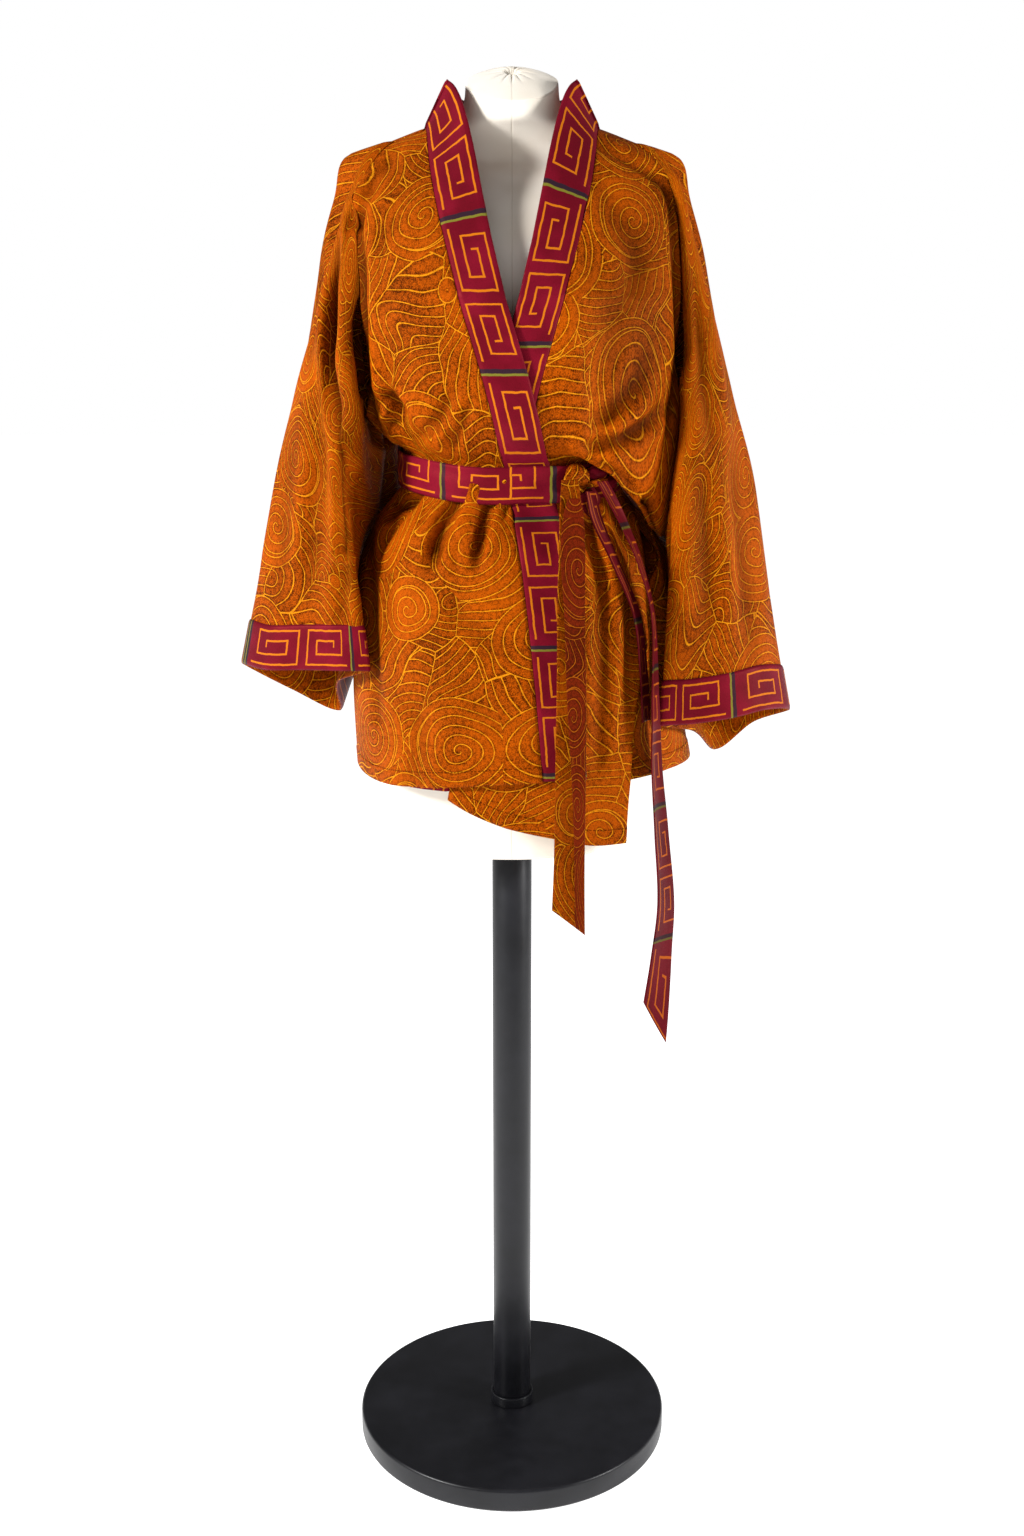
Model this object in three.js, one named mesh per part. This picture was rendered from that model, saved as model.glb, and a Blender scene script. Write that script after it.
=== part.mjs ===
// A short kimono, wrapped and tied with its own belt, on a limbless dress form with a pole and a round base.
// Millimetres, +Z up. The origin is the centre of the base's underside; the front faces -Y and +X is the
// wearer's left. Cloth is a wall: a grid of outer points with a second grid one cloth thickness inside it.
import * as THREE from 'three';

// ---------------------------------------------------------------- driving sizes
const CLOTH = 1.6;          // thickness of a cloth wall
const SEAM = 0.6;           // gap between two pieces at a seam
const LAYER = 4.2;          // how far the over panel lies outside the under panel
const BAND_WIDTH = 46;      // front band and neck band
const CUFF_DEPTH = 50;      // cuff band
const BELT_HALF = 19;       // half the belt's width
const BELT_WALL = 2.0;      // the belt is folded cloth
const BELT_SAG = 16;        // how much lower the belt lies in front than at the sides

const BASE = { radius: 184, height: 28, edge: 3 };
const POLE = { radius: 22.5, bottom: 28.3, top: 739.6 };
const COLLAR = { inner: 22.9, outer: 25.5, bottom: 28.3, top: 41 };

// Levels run up the garment: a height below CHEST, then on over the shoulder to RIDGE and past it.
const HEM = 834;
const BELT = 1161;
const UNDERARM = 1202;
const CHEST = 1333;
const RIDGE = 1533;
const WRAP = 14;            // the back panel comes this far forward over the ridge
const FRONT_TOP = RIDGE - WRAP;
const BACK_TOP = RIDGE + WRAP;
const BACK_EDGE = BACK_TOP - SEAM;

// Half widths and depths of the garment's outside at each level.
const BODY = [
  { level: 760, left: 165, right: 202, front: 150, back: 145, square: 0.92 },
  { level: 834, left: 168, right: 200, front: 150, back: 145, square: 0.92 },
  { level: 872, left: 170, right: 192, front: 150, back: 144, square: 0.92 },
  { level: 920, left: 172, right: 184, front: 149, back: 143, square: 0.92 },
  { level: 1000, left: 171, right: 178, front: 146, back: 139, square: 0.93 },
  { level: 1060, left: 162, right: 168, front: 139, back: 131, square: 0.95 },
  { level: 1100, left: 145, right: 145, front: 126, back: 116, square: 0.97 },
  { level: 1124, left: 125, right: 126, front: 113, back: 103, square: 1.0 },
  { level: 1138, left: 115, right: 117, front: 107, back: 96, square: 1.0 },
  { level: 1161, left: 115, right: 117, front: 107, back: 96, square: 1.0 },
  { level: 1184, left: 115, right: 117, front: 107, back: 96, square: 1.0 },
  { level: 1196, left: 130, right: 140, front: 123, back: 110, square: 1.0 },
  { level: 1212, left: 147, right: 163, front: 139, back: 121, square: 0.98 },
  { level: 1240, left: 163, right: 179, front: 147, back: 127, square: 0.95 },
  { level: 1285, left: 172, right: 183, front: 147, back: 126, square: 0.94 },
  { level: 1333, left: 178, right: 183, front: 143, back: 122, square: 0.94 },
  { level: 1433, left: 182, right: 184, front: 138, back: 120, square: 0.96 },
  { level: 1560, left: 184, right: 184, front: 132, back: 118, square: 1.0 },
];
// From chest to ridge: share of the depth that is left, and share of the rise that is done.
const DOME = [
  { part: 0.0, depth: 1.0, rise: 0.0 },
  { part: 0.2, depth: 0.86, rise: 0.24 },
  { part: 0.4, depth: 0.7, rise: 0.47 },
  { part: 0.6, depth: 0.52, rise: 0.69 },
  { part: 0.8, depth: 0.31, rise: 0.885 },
  { part: 0.9, depth: 0.17, rise: 0.965 },
  { part: 1.0, depth: 0.0, rise: 1.0 },
];
const SHOULDER = { tipX: 183, tipZ: 1470, slope: 0.415, dip: 0.00055 };

// Long soft folds of the body: angle from the front's centre (plus towards +X), half width in degrees, depth in
// mm (minus for a trough), the levels between which they run, and how far they lean in degrees over that run.
const FOLDS = [
  { angle: -57, half: 9, depth: -9, from: 1035, to: 1137, lean: 6 },
  { angle: -24, half: 6, depth: -9, from: 1050, to: 1137, lean: 8 },
  { angle: -9, half: 5, depth: -7, from: 1060, to: 1137, lean: 5 },
  { angle: -40, half: 10, depth: 5, from: 1020, to: 1137, lean: 5 },
  { angle: 30, half: 8, depth: -8, from: 960, to: 1137, lean: -4 },
  { angle: 46, half: 7, depth: 6, from: 900, to: 1137, lean: 14 },
  { angle: 66, half: 9, depth: -12, from: 800, to: 1137, lean: 12 },
  { angle: 88, half: 10, depth: 7, from: 800, to: 1137, lean: 0 },
  { angle: 112, half: 9, depth: -8, from: 900, to: 1137, lean: -4 },
  { angle: 138, half: 9, depth: -7, from: 1000, to: 1137, lean: 5 },
  { angle: 163, half: 8, depth: -9, from: 960, to: 1137, lean: 3 },
  { angle: 188, half: 8, depth: -8, from: 1020, to: 1137, lean: -3 },
  { angle: 214, half: 9, depth: -9, from: 980, to: 1137, lean: -5 },
  { angle: 243, half: 9, depth: -7, from: 1030, to: 1137, lean: -4 },
  { angle: -72, half: 9, depth: 6, from: 1185, to: 1260, lean: 0 },
  { angle: -52, half: 8, depth: -11, from: 1185, to: 1300, lean: -9 },
  { angle: -33, half: 9, depth: 6, from: 1185, to: 1270, lean: 0 },
  { angle: 34, half: 8, depth: -7, from: 1185, to: 1300, lean: 10 },
  { angle: 120, half: 11, depth: -9, from: 1185, to: 1330, lean: 6 },
  { angle: 150, half: 10, depth: -8, from: 1185, to: 1290, lean: 4 },
  { angle: 176, half: 9, depth: -9, from: 1185, to: 1350, lean: 0 },
  { angle: 205, half: 10, depth: -8, from: 1185, to: 1290, lean: -4 },
  { angle: 236, half: 11, depth: -9, from: 1185, to: 1330, lean: -6 },
];
// The bodice hangs over the belt at the wearer's left: how far its lowest line drops at each angle.
const SWAG = [
  { angle: 14, drop: 0 },
  { angle: 24, drop: 14 },
  { angle: 34, drop: 40 },
  { angle: 44, drop: 62 },
  { angle: 56, drop: 90 },
  { angle: 68, drop: 117 },
  { angle: 80, drop: 128 },
  { angle: 92, drop: 118 },
  { angle: 106, drop: 58 },
  { angle: 122, drop: 14 },
  { angle: 140, drop: 0 },
];
const SWAG_LEVELS = { start: 1186, low: 1214, end: 1300 };

// Armhole edges as angles from the face's centre line, the same on both sides where one column serves both.
const ARMHOLE_FRONT = [
  { level: UNDERARM, right: 89, left: 89 },
  { level: 1216, right: 75, left: 82 },
  { level: 1245, right: 65, left: 76 },
  { level: 1333, right: 60, left: 75 },
  { level: 1400, right: 60, left: 70 },
  { level: 1440, right: 60, left: 67 },
  { level: 1480, right: 54.5, left: 60 },
  { level: 1508, right: 46, left: 49.5 },
  { level: FRONT_TOP, right: 41, left: 43 },
];
const ARMHOLE_BACK = [
  { level: UNDERARM, angle: 89 },
  { level: 1216, angle: 76 },
  { level: 1245, angle: 69 },
  { level: 1333, angle: 66 },
  { level: 1440, angle: 65 },
  { level: 1500, angle: 63 },
  { level: RIDGE - 4, angle: 58 },
  { level: RIDGE + 6, angle: 49 },
  { level: BACK_TOP, angle: 42 },
];
// The side seam at the wearer's left turns forward below the belt and ends in an open vent.
const SIDE_SEAM_LEFT = [
  { level: 760, angle: 34 },
  { level: 834, angle: 36 },
  { level: 920, angle: 43 },
  { level: 1000, angle: 54 },
  { level: 1050, angle: 67 },
  { level: 1090, angle: 81 },
  { level: 1130, angle: 89 },
  { level: UNDERARM, angle: 89 },
];
const SIDE_SEAM_RIGHT = 89;
const VENT = { top: 1010, lift: 5, reach: 0.25 };

// Where the front panels meet their bands: x of the seam, over panel and under panel.
const FRONT_SEAM = [
  { level: 760, over: 34, under: -76 },
  { level: 834, over: 32, under: -66 },
  { level: 1000, over: 17, under: -28 },
  { level: 1130, over: 0, under: 2 },
  { level: 1180, over: -8, under: 10 },
  { level: 1333, over: -53, under: 53 },
  { level: 1400, over: -71, under: 71 },
  { level: 1460, over: -83, under: 83 },
  { level: FRONT_TOP, over: -89, under: 89 },
];
// How steeply the band stands off the chest as it climbs to the neck.
const BAND_STAND = [
  { level: 1380, degrees: 0 },
  { level: 1440, degrees: 14 },
  { level: 1490, degrees: 38 },
  { level: FRONT_TOP, degrees: 58 },
];

// Hem lines, as levels.
const HEM_OVER = [
  { angle: -89, level: 838 },
  { angle: -50, level: 830 },
  { angle: 0, level: 841 },
  { angle: 30, level: 847 },
];
const HEM_UNDER = [
  { x: -112, level: 834 },
  { x: -76, level: 822 },
  { x: -36, level: 805 },
  { x: 12, level: 788 },
  { x: 47, level: 779 },
  { x: 80, level: 771 },
  { x: 118, level: 771 },
];
const HEM_BACK = [
  { angle: 34, level: 792 },
  { angle: 52, level: 800 },
  { angle: 70, level: 820 },
  { angle: 90, level: 838 },
  { angle: 130, level: 842 },
  { angle: 180, level: 834 },
  { angle: 271, level: 838 },
];
const NECKLINE_BACK = [
  { angle: 0, level: 1478 },
  { angle: 12, level: 1480 },
  { angle: 19, level: 1488 },
  { angle: 24, level: 1502 },
  { angle: 27.5, level: 1522 },
  { angle: 30, level: BACK_EDGE },
  { angle: 30.9, level: BACK_EDGE },
  { angle: 90, level: BACK_EDGE },
];

// Sleeves: lines run from the armhole (around = 0 at the front's top, 0.5 under the arm, 1 back at the top) by a
// middle point to the edge of the cuff. x is given for the wearer's left and mirrored for the right.
const SLEEVE_RIGHT = [
  { around: 0.08, midX: 219, midY: -54, midZ: 1232, cuffX: 266, cuffY: -60, cuffZ: 945 },
  { around: 0.17, midX: 196, midY: -72, midZ: 1204, cuffX: 225, cuffY: -78, cuffZ: 948 },
  { around: 0.28, midX: 180, midY: -97, midZ: 1180, cuffX: 184, cuffY: -94, cuffZ: 950 },
  { around: 0.41, midX: 170, midY: -94, midZ: 1134, cuffX: 151, cuffY: -98, cuffZ: 950 },
  { around: 0.445, midX: 165, midY: -66, midZ: 1124, cuffX: 161, cuffY: -88, cuffZ: 946 },
  { around: 0.5, midX: 146, midY: 6, midZ: 1112, cuffX: 189, cuffY: -54, cuffZ: 931 },
  { around: 0.62, midX: 114, midY: 86, midZ: 1142, cuffX: 196, cuffY: 26, cuffZ: 884 },
  { around: 0.79, midX: 207, midY: 56, midZ: 1190, cuffX: 248, cuffY: 24, cuffZ: 908 },
  { around: 0.95, midX: 231, midY: 2, midZ: 1240, cuffX: 297, cuffY: -14, cuffZ: 944 },
];
const SLEEVE_LEFT = [
  { around: 0.08, midX: 230, midY: -58, midZ: 1205, cuffX: 274, cuffY: -68, cuffZ: 903 },
  { around: 0.17, midX: 213, midY: -82, midZ: 1188, cuffX: 236, cuffY: -88, cuffZ: 898 },
  { around: 0.28, midX: 188, midY: -94, midZ: 1162, cuffX: 193, cuffY: -96, cuffZ: 893 },
  { around: 0.41, midX: 168, midY: -88, midZ: 1130, cuffX: 158, cuffY: -102, cuffZ: 892 },
  { around: 0.445, midX: 166, midY: -64, midZ: 1118, cuffX: 169, cuffY: -91, cuffZ: 888 },
  { around: 0.5, midX: 158, midY: 6, midZ: 1100, cuffX: 199, cuffY: -52, cuffZ: 876 },
  { around: 0.62, midX: 124, midY: 88, midZ: 1132, cuffX: 232, cuffY: 20, cuffZ: 840 },
  { around: 0.79, midX: 217, midY: 54, midZ: 1185, cuffX: 273, cuffY: 18, cuffZ: 872 },
  { around: 0.95, midX: 240, midY: 0, midZ: 1222, cuffX: 307, cuffY: -18, cuffZ: 893 },
];
// Near the shoulder ridge the sleeve first runs on outwards before it falls.
const CAP_LEAVE = { around: 0.985, half: 0.17, x: 88, y: -6, z: -2 };
// The shoulder's corner stands up a little where the sleeve turns down.
const CAP_CORNER = { half: 0.13, at: 0.075, spread: 0.05, x: 6.4, z: 4.8 };
// The sleeve is kept this far outside the body that it hangs against.
const SLEEVE_GAP = 10;
const SLEEVE_LIFT = 3;

// The dress form: half width, depths to front and back, and the forward lean of each section.
const FORM = [
  { z: 740, side: 140, front: 92, back: 104, lean: 0 },
  { z: 752, side: 147, front: 99, back: 111, lean: 0 },
  { z: 850, side: 152, front: 103, back: 117, lean: 0 },
  { z: 955, side: 148, front: 103, back: 118, lean: 0 },
  { z: 1060, side: 122, front: 95, back: 100, lean: 0 },
  { z: 1155, side: 102, front: 86, back: 82, lean: 0 },
  { z: 1250, side: 124, front: 100, back: 95, lean: 0 },
  { z: 1325, side: 141, front: 115, back: 102, lean: 0 },
  { z: 1385, side: 149, front: 96, back: 97, lean: 0 },
  { z: 1425, side: 153, front: 72, back: 80, lean: 0 },
  { z: 1452, side: 153, front: 46, back: 50, lean: 0 },
  { z: 1469, side: 144, front: 26, back: 30, lean: 0 },
  { z: 1481, side: 126, front: 27, back: 29, lean: 0 },
  { z: 1492, side: 102, front: 31, back: 30, lean: 0 },
  { z: 1503, side: 77, front: 38, back: 33, lean: 0.03 },
  { z: 1516, side: 58, front: 45, back: 35, lean: 0.16 },
  { z: 1532, side: 50, front: 48, back: 36, lean: 0.36 },
  { z: 1550, side: 48, front: 49, back: 37, lean: 0.5 },
];
const CAP = { side: 48, front: 49, back: 37, z: 1550.4, lean: 0.5, rise: 10 };

// Belt ends: the middle line of each strip, the way its flat side turns, and its width.
const TAIL_FRONT = [
  { z: 1128, x: 60, y: -129, turn: 8, width: 22 },
  { z: 1116, x: 60, y: -133, turn: 8, width: 23 },
  { z: 1080, x: 60, y: -147, turn: 4, width: 25 },
  { z: 1030, x: 60, y: -156, turn: 2, width: 28 },
  { z: 960, x: 61, y: -161, turn: 0, width: 30 },
  { z: 860, x: 60.5, y: -163, turn: 0, width: 31 },
  { z: 760, x: 60, y: -163, turn: -3, width: 32 },
  { z: 706, x: 59.5, y: -163, turn: -6, width: 35 },
];
const TAIL_FRONT_TIP = { skew: -27 };
const TAIL_SIDE = [
  { z: 1150, x: 92, y: -112, turn: 24, width: 12 },
  { z: 1140, x: 98, y: -108, turn: 30, width: 15 },
  { z: 1108, x: 115, y: -108, turn: 50, width: 20 },
  { z: 1066, x: 133, y: -108, turn: 66, width: 24 },
  { z: 1012, x: 147, y: -112, turn: 76, width: 26 },
  { z: 920, x: 150, y: -118, turn: 74, width: 26 },
  { z: 850, x: 152, y: -120, turn: 66, width: 27 },
  { z: 780, x: 159, y: -119, turn: 54, width: 29 },
  { z: 700, x: 166, y: -119, turn: 46, width: 30 },
  { z: 640, x: 162, y: -118, turn: 40, width: 30 },
  { z: 590, x: 156, y: -118, turn: 34, width: 30 },
];
const TAIL_SIDE_TIP = { skew: -52 };
const KNOT = { from: 23, to: 34.5, lower: 1132, upper: 1168, thick: 13 };
const LOOPS = [
  { name: 'belt_loop_upper', from: 35.1, to: 46.5, lower: 1122, upper: 1163, thick: 11 },
  { name: 'belt_loop_lower', from: 47.1, to: 60.5, lower: 1136, upper: 1156, thick: 9 },
];

// ---------------------------------------------------------------- small helpers
const radians = (degrees) => (degrees * Math.PI) / 180;
const clamp = (value, low, high) => Math.min(high, Math.max(low, value));
const mix = (a, b, t) => a + (b - a) * t;
const ease = (t) => {
  const s = clamp(t, 0, 1);
  return s * s * (3 - 2 * s);
};
const hump = (offset, half) => (Math.abs(offset) < half ? 0.5 + 0.5 * Math.cos((Math.PI * offset) / half) : 0);

function hermite(a, b, tangentA, tangentB, t) {
  const t2 = t * t;
  const t3 = t2 * t;
  return a * (2 * t3 - 3 * t2 + 1) + tangentA * (t3 - 2 * t2 + t) + b * (3 * t2 - 2 * t3) + tangentB * (t3 - t2);
}

// Smooth value of one column of a table at a key, flat beyond its ends.
function look(rows, keyName, column, key) {
  const last = rows.length - 1;
  if (key <= rows[0][keyName]) return rows[0][column];
  if (key >= rows[last][keyName]) return rows[last][column];
  let i = 0;
  while (key > rows[i + 1][keyName]) i += 1;
  const slope = (k) => {
    const before = rows[Math.max(0, k - 1)];
    const after = rows[Math.min(last, k + 1)];
    return (after[column] - before[column]) / (after[keyName] - before[keyName]);
  };
  const width = rows[i + 1][keyName] - rows[i][keyName];
  const t = (key - rows[i][keyName]) / width;
  return hermite(rows[i][column], rows[i + 1][column], slope(i) * width, slope(i + 1) * width, t);
}

// The same round a closed ring, where the key runs from 0 to 1.
function lookRound(rows, column, around) {
  const n = rows.length;
  const at = (k) => {
    const turn = Math.floor(k / n);
    const row = rows[k - turn * n];
    return { key: row.around + turn, value: row[column] };
  };
  let key = around;
  if (key < rows[0].around) key += 1;
  let i = 0;
  while (key > at(i + 1).key) i += 1;
  const slope = (k) => (at(k + 1).value - at(k - 1).value) / (at(k + 1).key - at(k - 1).key);
  const width = at(i + 1).key - at(i).key;
  const t = (key - at(i).key) / width;
  return hermite(at(i).value, at(i + 1).value, slope(i) * width, slope(i + 1) * width, t);
}

// ---------------------------------------------------------------- solids from grids
function solidFrom(vertices, faces) {
  const geometry = new THREE.BufferGeometry();
  geometry.setAttribute('position', new THREE.Float32BufferAttribute(vertices.flat(), 3));
  geometry.setIndex(faces.flat());
  geometry.computeVertexNormals();
  return geometry;
}

// Unit normals of a grid of points, by differences along its two directions.
function gridNormals(grid, closed) {
  const rows = grid.length;
  const columns = grid[0].length;
  return grid.map((row, j) => row.map((point, i) => {
    const left = closed ? row[(i + columns - 1) % columns] : row[Math.max(0, i - 1)];
    const right = closed ? row[(i + 1) % columns] : row[Math.min(columns - 1, i + 1)];
    const below = grid[Math.max(0, j - 1)][i];
    const above = grid[Math.min(rows - 1, j + 1)][i];
    const across = new THREE.Vector3().subVectors(right, left);
    const up = new THREE.Vector3().subVectors(above, below);
    return across.cross(up).normalize();
  }));
}

// A wall: the outer grid (columns run so that across x up points out) and an inner one, closed at every edge.
function wall(grid, thickness, closed = false) {
  const normals = gridNormals(grid, closed);
  const inside = grid.map((row, j) => row.map((point, i) => point.clone().addScaledVector(normals[j][i], -thickness)));
  return wallBetween(grid, inside, closed);
}

function wallBetween(grid, inside, closed = false) {
  const rows = grid.length;
  const columns = grid[0].length;
  const outer = (j, i) => j * columns + (i % columns);
  const inner = (j, i) => rows * columns + outer(j, i);
  const vertices = [];
  for (const row of [...grid, ...inside]) for (const point of row) vertices.push(point.toArray());
  const faces = [];
  const quad = (a, b, c, d) => faces.push([a, b, c], [a, c, d]);
  const lastColumn = closed ? columns : columns - 1;
  for (let j = 0; j < rows - 1; j += 1) {
    for (let i = 0; i < lastColumn; i += 1) {
      quad(outer(j, i), outer(j, i + 1), outer(j + 1, i + 1), outer(j + 1, i));
      quad(inner(j, i), inner(j + 1, i), inner(j + 1, i + 1), inner(j, i + 1));
    }
    if (!closed) {
      quad(outer(j, 0), outer(j + 1, 0), inner(j + 1, 0), inner(j, 0));
      quad(outer(j, columns - 1), inner(j, columns - 1), inner(j + 1, columns - 1), outer(j + 1, columns - 1));
    }
  }
  for (let i = 0; i < lastColumn; i += 1) {
    quad(outer(0, i), inner(0, i), inner(0, i + 1), outer(0, i + 1));
    quad(outer(rows - 1, i), outer(rows - 1, i + 1), inner(rows - 1, i + 1), inner(rows - 1, i));
  }
  return solidFrom(vertices, faces);
}

// A closed body of rings, with a middle point at each end.
function rings(grid) {
  const rows = grid.length;
  const columns = grid[0].length;
  const centre = (row) => row.reduce((sum, p) => sum.add(p), new THREE.Vector3()).divideScalar(row.length);
  const vertices = grid.flat().map((p) => p.toArray());
  vertices.push(centre(grid[0]).toArray(), centre(grid[rows - 1]).toArray());
  const bottom = rows * columns;
  const faces = [];
  const at = (j, i) => j * columns + (i % columns);
  for (let i = 0; i < columns; i += 1) {
    for (let j = 0; j < rows - 1; j += 1) {
      faces.push([at(j, i), at(j, i + 1), at(j + 1, i + 1)], [at(j, i), at(j + 1, i + 1), at(j + 1, i)]);
    }
    faces.push([bottom, at(0, i + 1), at(0, i)], [bottom + 1, at(rows - 1, i), at(rows - 1, i + 1)]);
  }
  return solidFrom(vertices, faces);
}

// A wall of cloth on the garment's surface: each spot has an angle, a level and how far out it lies.
function clothWall(spots) {
  const layer = (depth) => spots.map((row) => row.map((spot) => shell(spot.angle, spot.level, spot.out - depth)));
  return wallBetween(layer(0), layer(CLOTH));
}

const gridOf = (rowKeys, columnKeys, point) => rowKeys.map((v, j) => columnKeys.map((u, i) => point(u, v, i, j)));
const steps = (count) => Array.from({ length: count + 1 }, (_, k) => k / count);

// ---------------------------------------------------------------- the garment's outside as one surface
// angle: 0 at the front's middle, 90 at +X, 180 at the back's middle, 270 (or -90) at -X.
const ridgeHeight = (x) => {
  const inward = SHOULDER.tipX - Math.abs(x);
  return SHOULDER.tipZ + SHOULDER.slope * inward - SHOULDER.dip * inward * inward * 0.5;
};

function foldDepth(angle, level) {
  let depth = 0;
  for (const fold of FOLDS) {
    if (level <= fold.from || level >= fold.to) continue;
    const part = (level - fold.from) / (fold.to - fold.from);
    const waist = level < BELT ? part : 1 - part;
    const centre = fold.angle + fold.lean * (waist - 1);
    const away = ((angle - centre + 540) % 360) - 180;
    depth += fold.depth * hump(away, fold.half) * Math.sin(Math.PI * Math.pow(waist, 1.7));
  }
  return depth;
}

function swagDrop(angle, level) {
  const { start, low, end } = SWAG_LEVELS;
  const drop = look(SWAG, 'angle', 'drop', ((angle + 450) % 360) - 90);
  if (drop <= 0 || level <= start || level >= end) return 0;
  const part = level < low ? (level - start) / (low - start) : (end - level) / (end - low);
  return drop * ease(part);
}

function shell(angle, level, out = 0) {
  const point = shellPoint(angle, level);
  const across = shellPoint(angle + 1, level).sub(shellPoint(angle - 1, level));
  const up = shellPoint(angle, level + 2).sub(shellPoint(angle, level - 2));
  return point.addScaledVector(across.cross(up).normalize(), out);
}

function shellPoint(angle, level) {
  let turned = angle;
  let height = level;
  if (level > RIDGE) {
    turned = 180 - angle;
    height = 2 * RIDGE - level;
  }
  const sine = Math.sin(radians(turned));
  const cosine = Math.cos(radians(turned));
  const square = look(BODY, 'level', 'square', height);
  const halfWidth = look(BODY, 'level', sine >= 0 ? 'right' : 'left', height);
  const halfDepth = look(BODY, 'level', cosine >= 0 ? 'front' : 'back', height);
  const fold = foldDepth(turned, height);
  const x = (halfWidth + fold) * Math.sign(sine) * Math.pow(Math.abs(sine), square);
  const reach = -(halfDepth + fold) * Math.sign(cosine) * Math.pow(Math.abs(cosine), square);
  if (height <= CHEST) {
    const sag = BELT_SAG * Math.max(0, cosine) * hump(height - BELT, 110);
    return new THREE.Vector3(x, reach, height - sag - swagDrop(turned, height));
  }
  const part = (height - CHEST) / (RIDGE - CHEST);
  const z = CHEST + (ridgeHeight(x) - CHEST) * look(DOME, 'part', 'rise', part);
  return new THREE.Vector3(x, reach * look(DOME, 'part', 'depth', part), z);
}

// The angle on the front where the outside has a given x.
function frontAngle(x, level) {
  const halfWidth = look(BODY, 'level', x >= 0 ? 'right' : 'left', level);
  const square = look(BODY, 'level', 'square', level);
  const sine = Math.pow(clamp(Math.abs(x) / halfWidth, 0, 1), 1 / square);
  return (Math.sign(x) * Math.asin(sine) * 180) / Math.PI;
}

const VENT_GAP = 0.5;      // the same at the wearer's left, where the seam curves
const DEGREE_GAP = 0.26;    // seam gap as an angle on the body
const LEVELS = [HEM, 876, 918, 960, 1000, 1036, 1066, 1092, 1114, 1137, 1161, 1185, 1194, UNDERARM, 1214, 1232,
  1258, 1292, CHEST, 1368, 1402, 1434, 1464, 1490, 1507, FRONT_TOP - 0.4];

// Stretches the levels below LOOSE so that a panel ends on its own hem.
const LOOSE = 1040;
const toHem = (level, hem) => (level >= LOOSE ? level : LOOSE - ((LOOSE - level) * (LOOSE - hem)) / (LOOSE - HEM));

const overOut = (level) => LAYER * (1 - ease((level - 1400) / (1500 - 1400)));
// Where the over panel covers it, the under layer lies a little further in.
const TUCK = { depth: 3.2, from: 14, width: 20 };
const underOut = (angle) => -TUCK.depth * ease((TUCK.from - angle) / TUCK.width);
const ventLift = (part, level) => VENT.lift * ease((VENT.reach - part) / VENT.reach) * ease((VENT.top - level) / 120);

// ---------------------------------------------------------------- panels
function frontOver() {
  const edge = (level) => (level > UNDERARM ? look(ARMHOLE_FRONT, 'level', 'right', level) : SIDE_SEAM_RIGHT);
  return clothWall(gridOf(LEVELS, steps(16), (u, row) => {
    const top = row >= LOOSE ? row : 1000;
    const start = -edge(row) + DEGREE_GAP;
    const guess = mix(start, frontAngle(look(FRONT_SEAM, 'level', 'over', top), top), u);
    const level = toHem(row, look(HEM_OVER, 'angle', 'level', guess));
    const end = frontAngle(look(FRONT_SEAM, 'level', 'over', level), level);
    return { angle: mix(start, end, u), level, out: overOut(level) };
  }));
}

function frontUnder() {
  return clothWall(gridOf(LEVELS, steps(16), (u, row) => {
    const guessX = mix(-70, 118, u);
    const level = toHem(row, look(HEM_UNDER, 'x', 'level', guessX));
    const side = level > UNDERARM
      ? look(ARMHOLE_FRONT, 'level', 'left', level) : look(SIDE_SEAM_LEFT, 'level', 'angle', level);
    const end = side - VENT_GAP;
    const start = frontAngle(look(FRONT_SEAM, 'level', 'under', level), level);
    const angle = mix(start, end, u);
    return { angle, level, out: ventLift(1 - u, level) + underOut(angle) * ease((1330 - level) / 60) };
  }));
}

const BACK_COLUMNS = [-60, -54, -48, -42, -36, -31, -28, -24, -17, -9, 0, 9, 17, 24, 28, 31, 36, 42, 48, 54, 60];
const BACK_LEVELS = [...LEVELS.slice(0, -3), 1490, 1506, 1519, 1530, 1539, BACK_EDGE];
const NECK_PART = 31 / 60;

function backPanel() {
  return clothWall(gridOf(BACK_LEVELS, BACK_COLUMNS, (column, row) => {
    const part = column / 60;
    const even = 180 - 90 * part;
    const hem = toHem(row, look(HEM_BACK, 'angle', 'level', even));
    const top = look(NECKLINE_BACK, 'angle', 'level', Math.abs(column));
    const level = hem > 1440 ? mix(1440, top, (hem - 1440) / (BACK_EDGE - 1440)) : hem;
    const open = level > UNDERARM;
    const seamLeft = open ? 180 - look(ARMHOLE_BACK, 'level', 'angle', level)
      : look(SIDE_SEAM_LEFT, 'level', 'angle', level);
    const seamRight = open ? 180 + look(ARMHOLE_BACK, 'level', 'angle', level) : 360 - SIDE_SEAM_RIGHT;
    const edge = part < 0 ? seamRight - DEGREE_GAP : seamLeft + VENT_GAP;
    const uniform = 180 + (edge - 180) * Math.abs(part);
    const inner = 180 - column;
    const outerShare = (Math.abs(part) - NECK_PART) / (1 - NECK_PART);
    const shaped = outerShare <= 0 ? inner : mix(180 - Math.sign(part) * 31, edge, outerShare);
    return { angle: mix(uniform, shaped, ease((level - 1250) / 200)), level, out: 0 };
  }).map((row) => row.reverse()));
}

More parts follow.
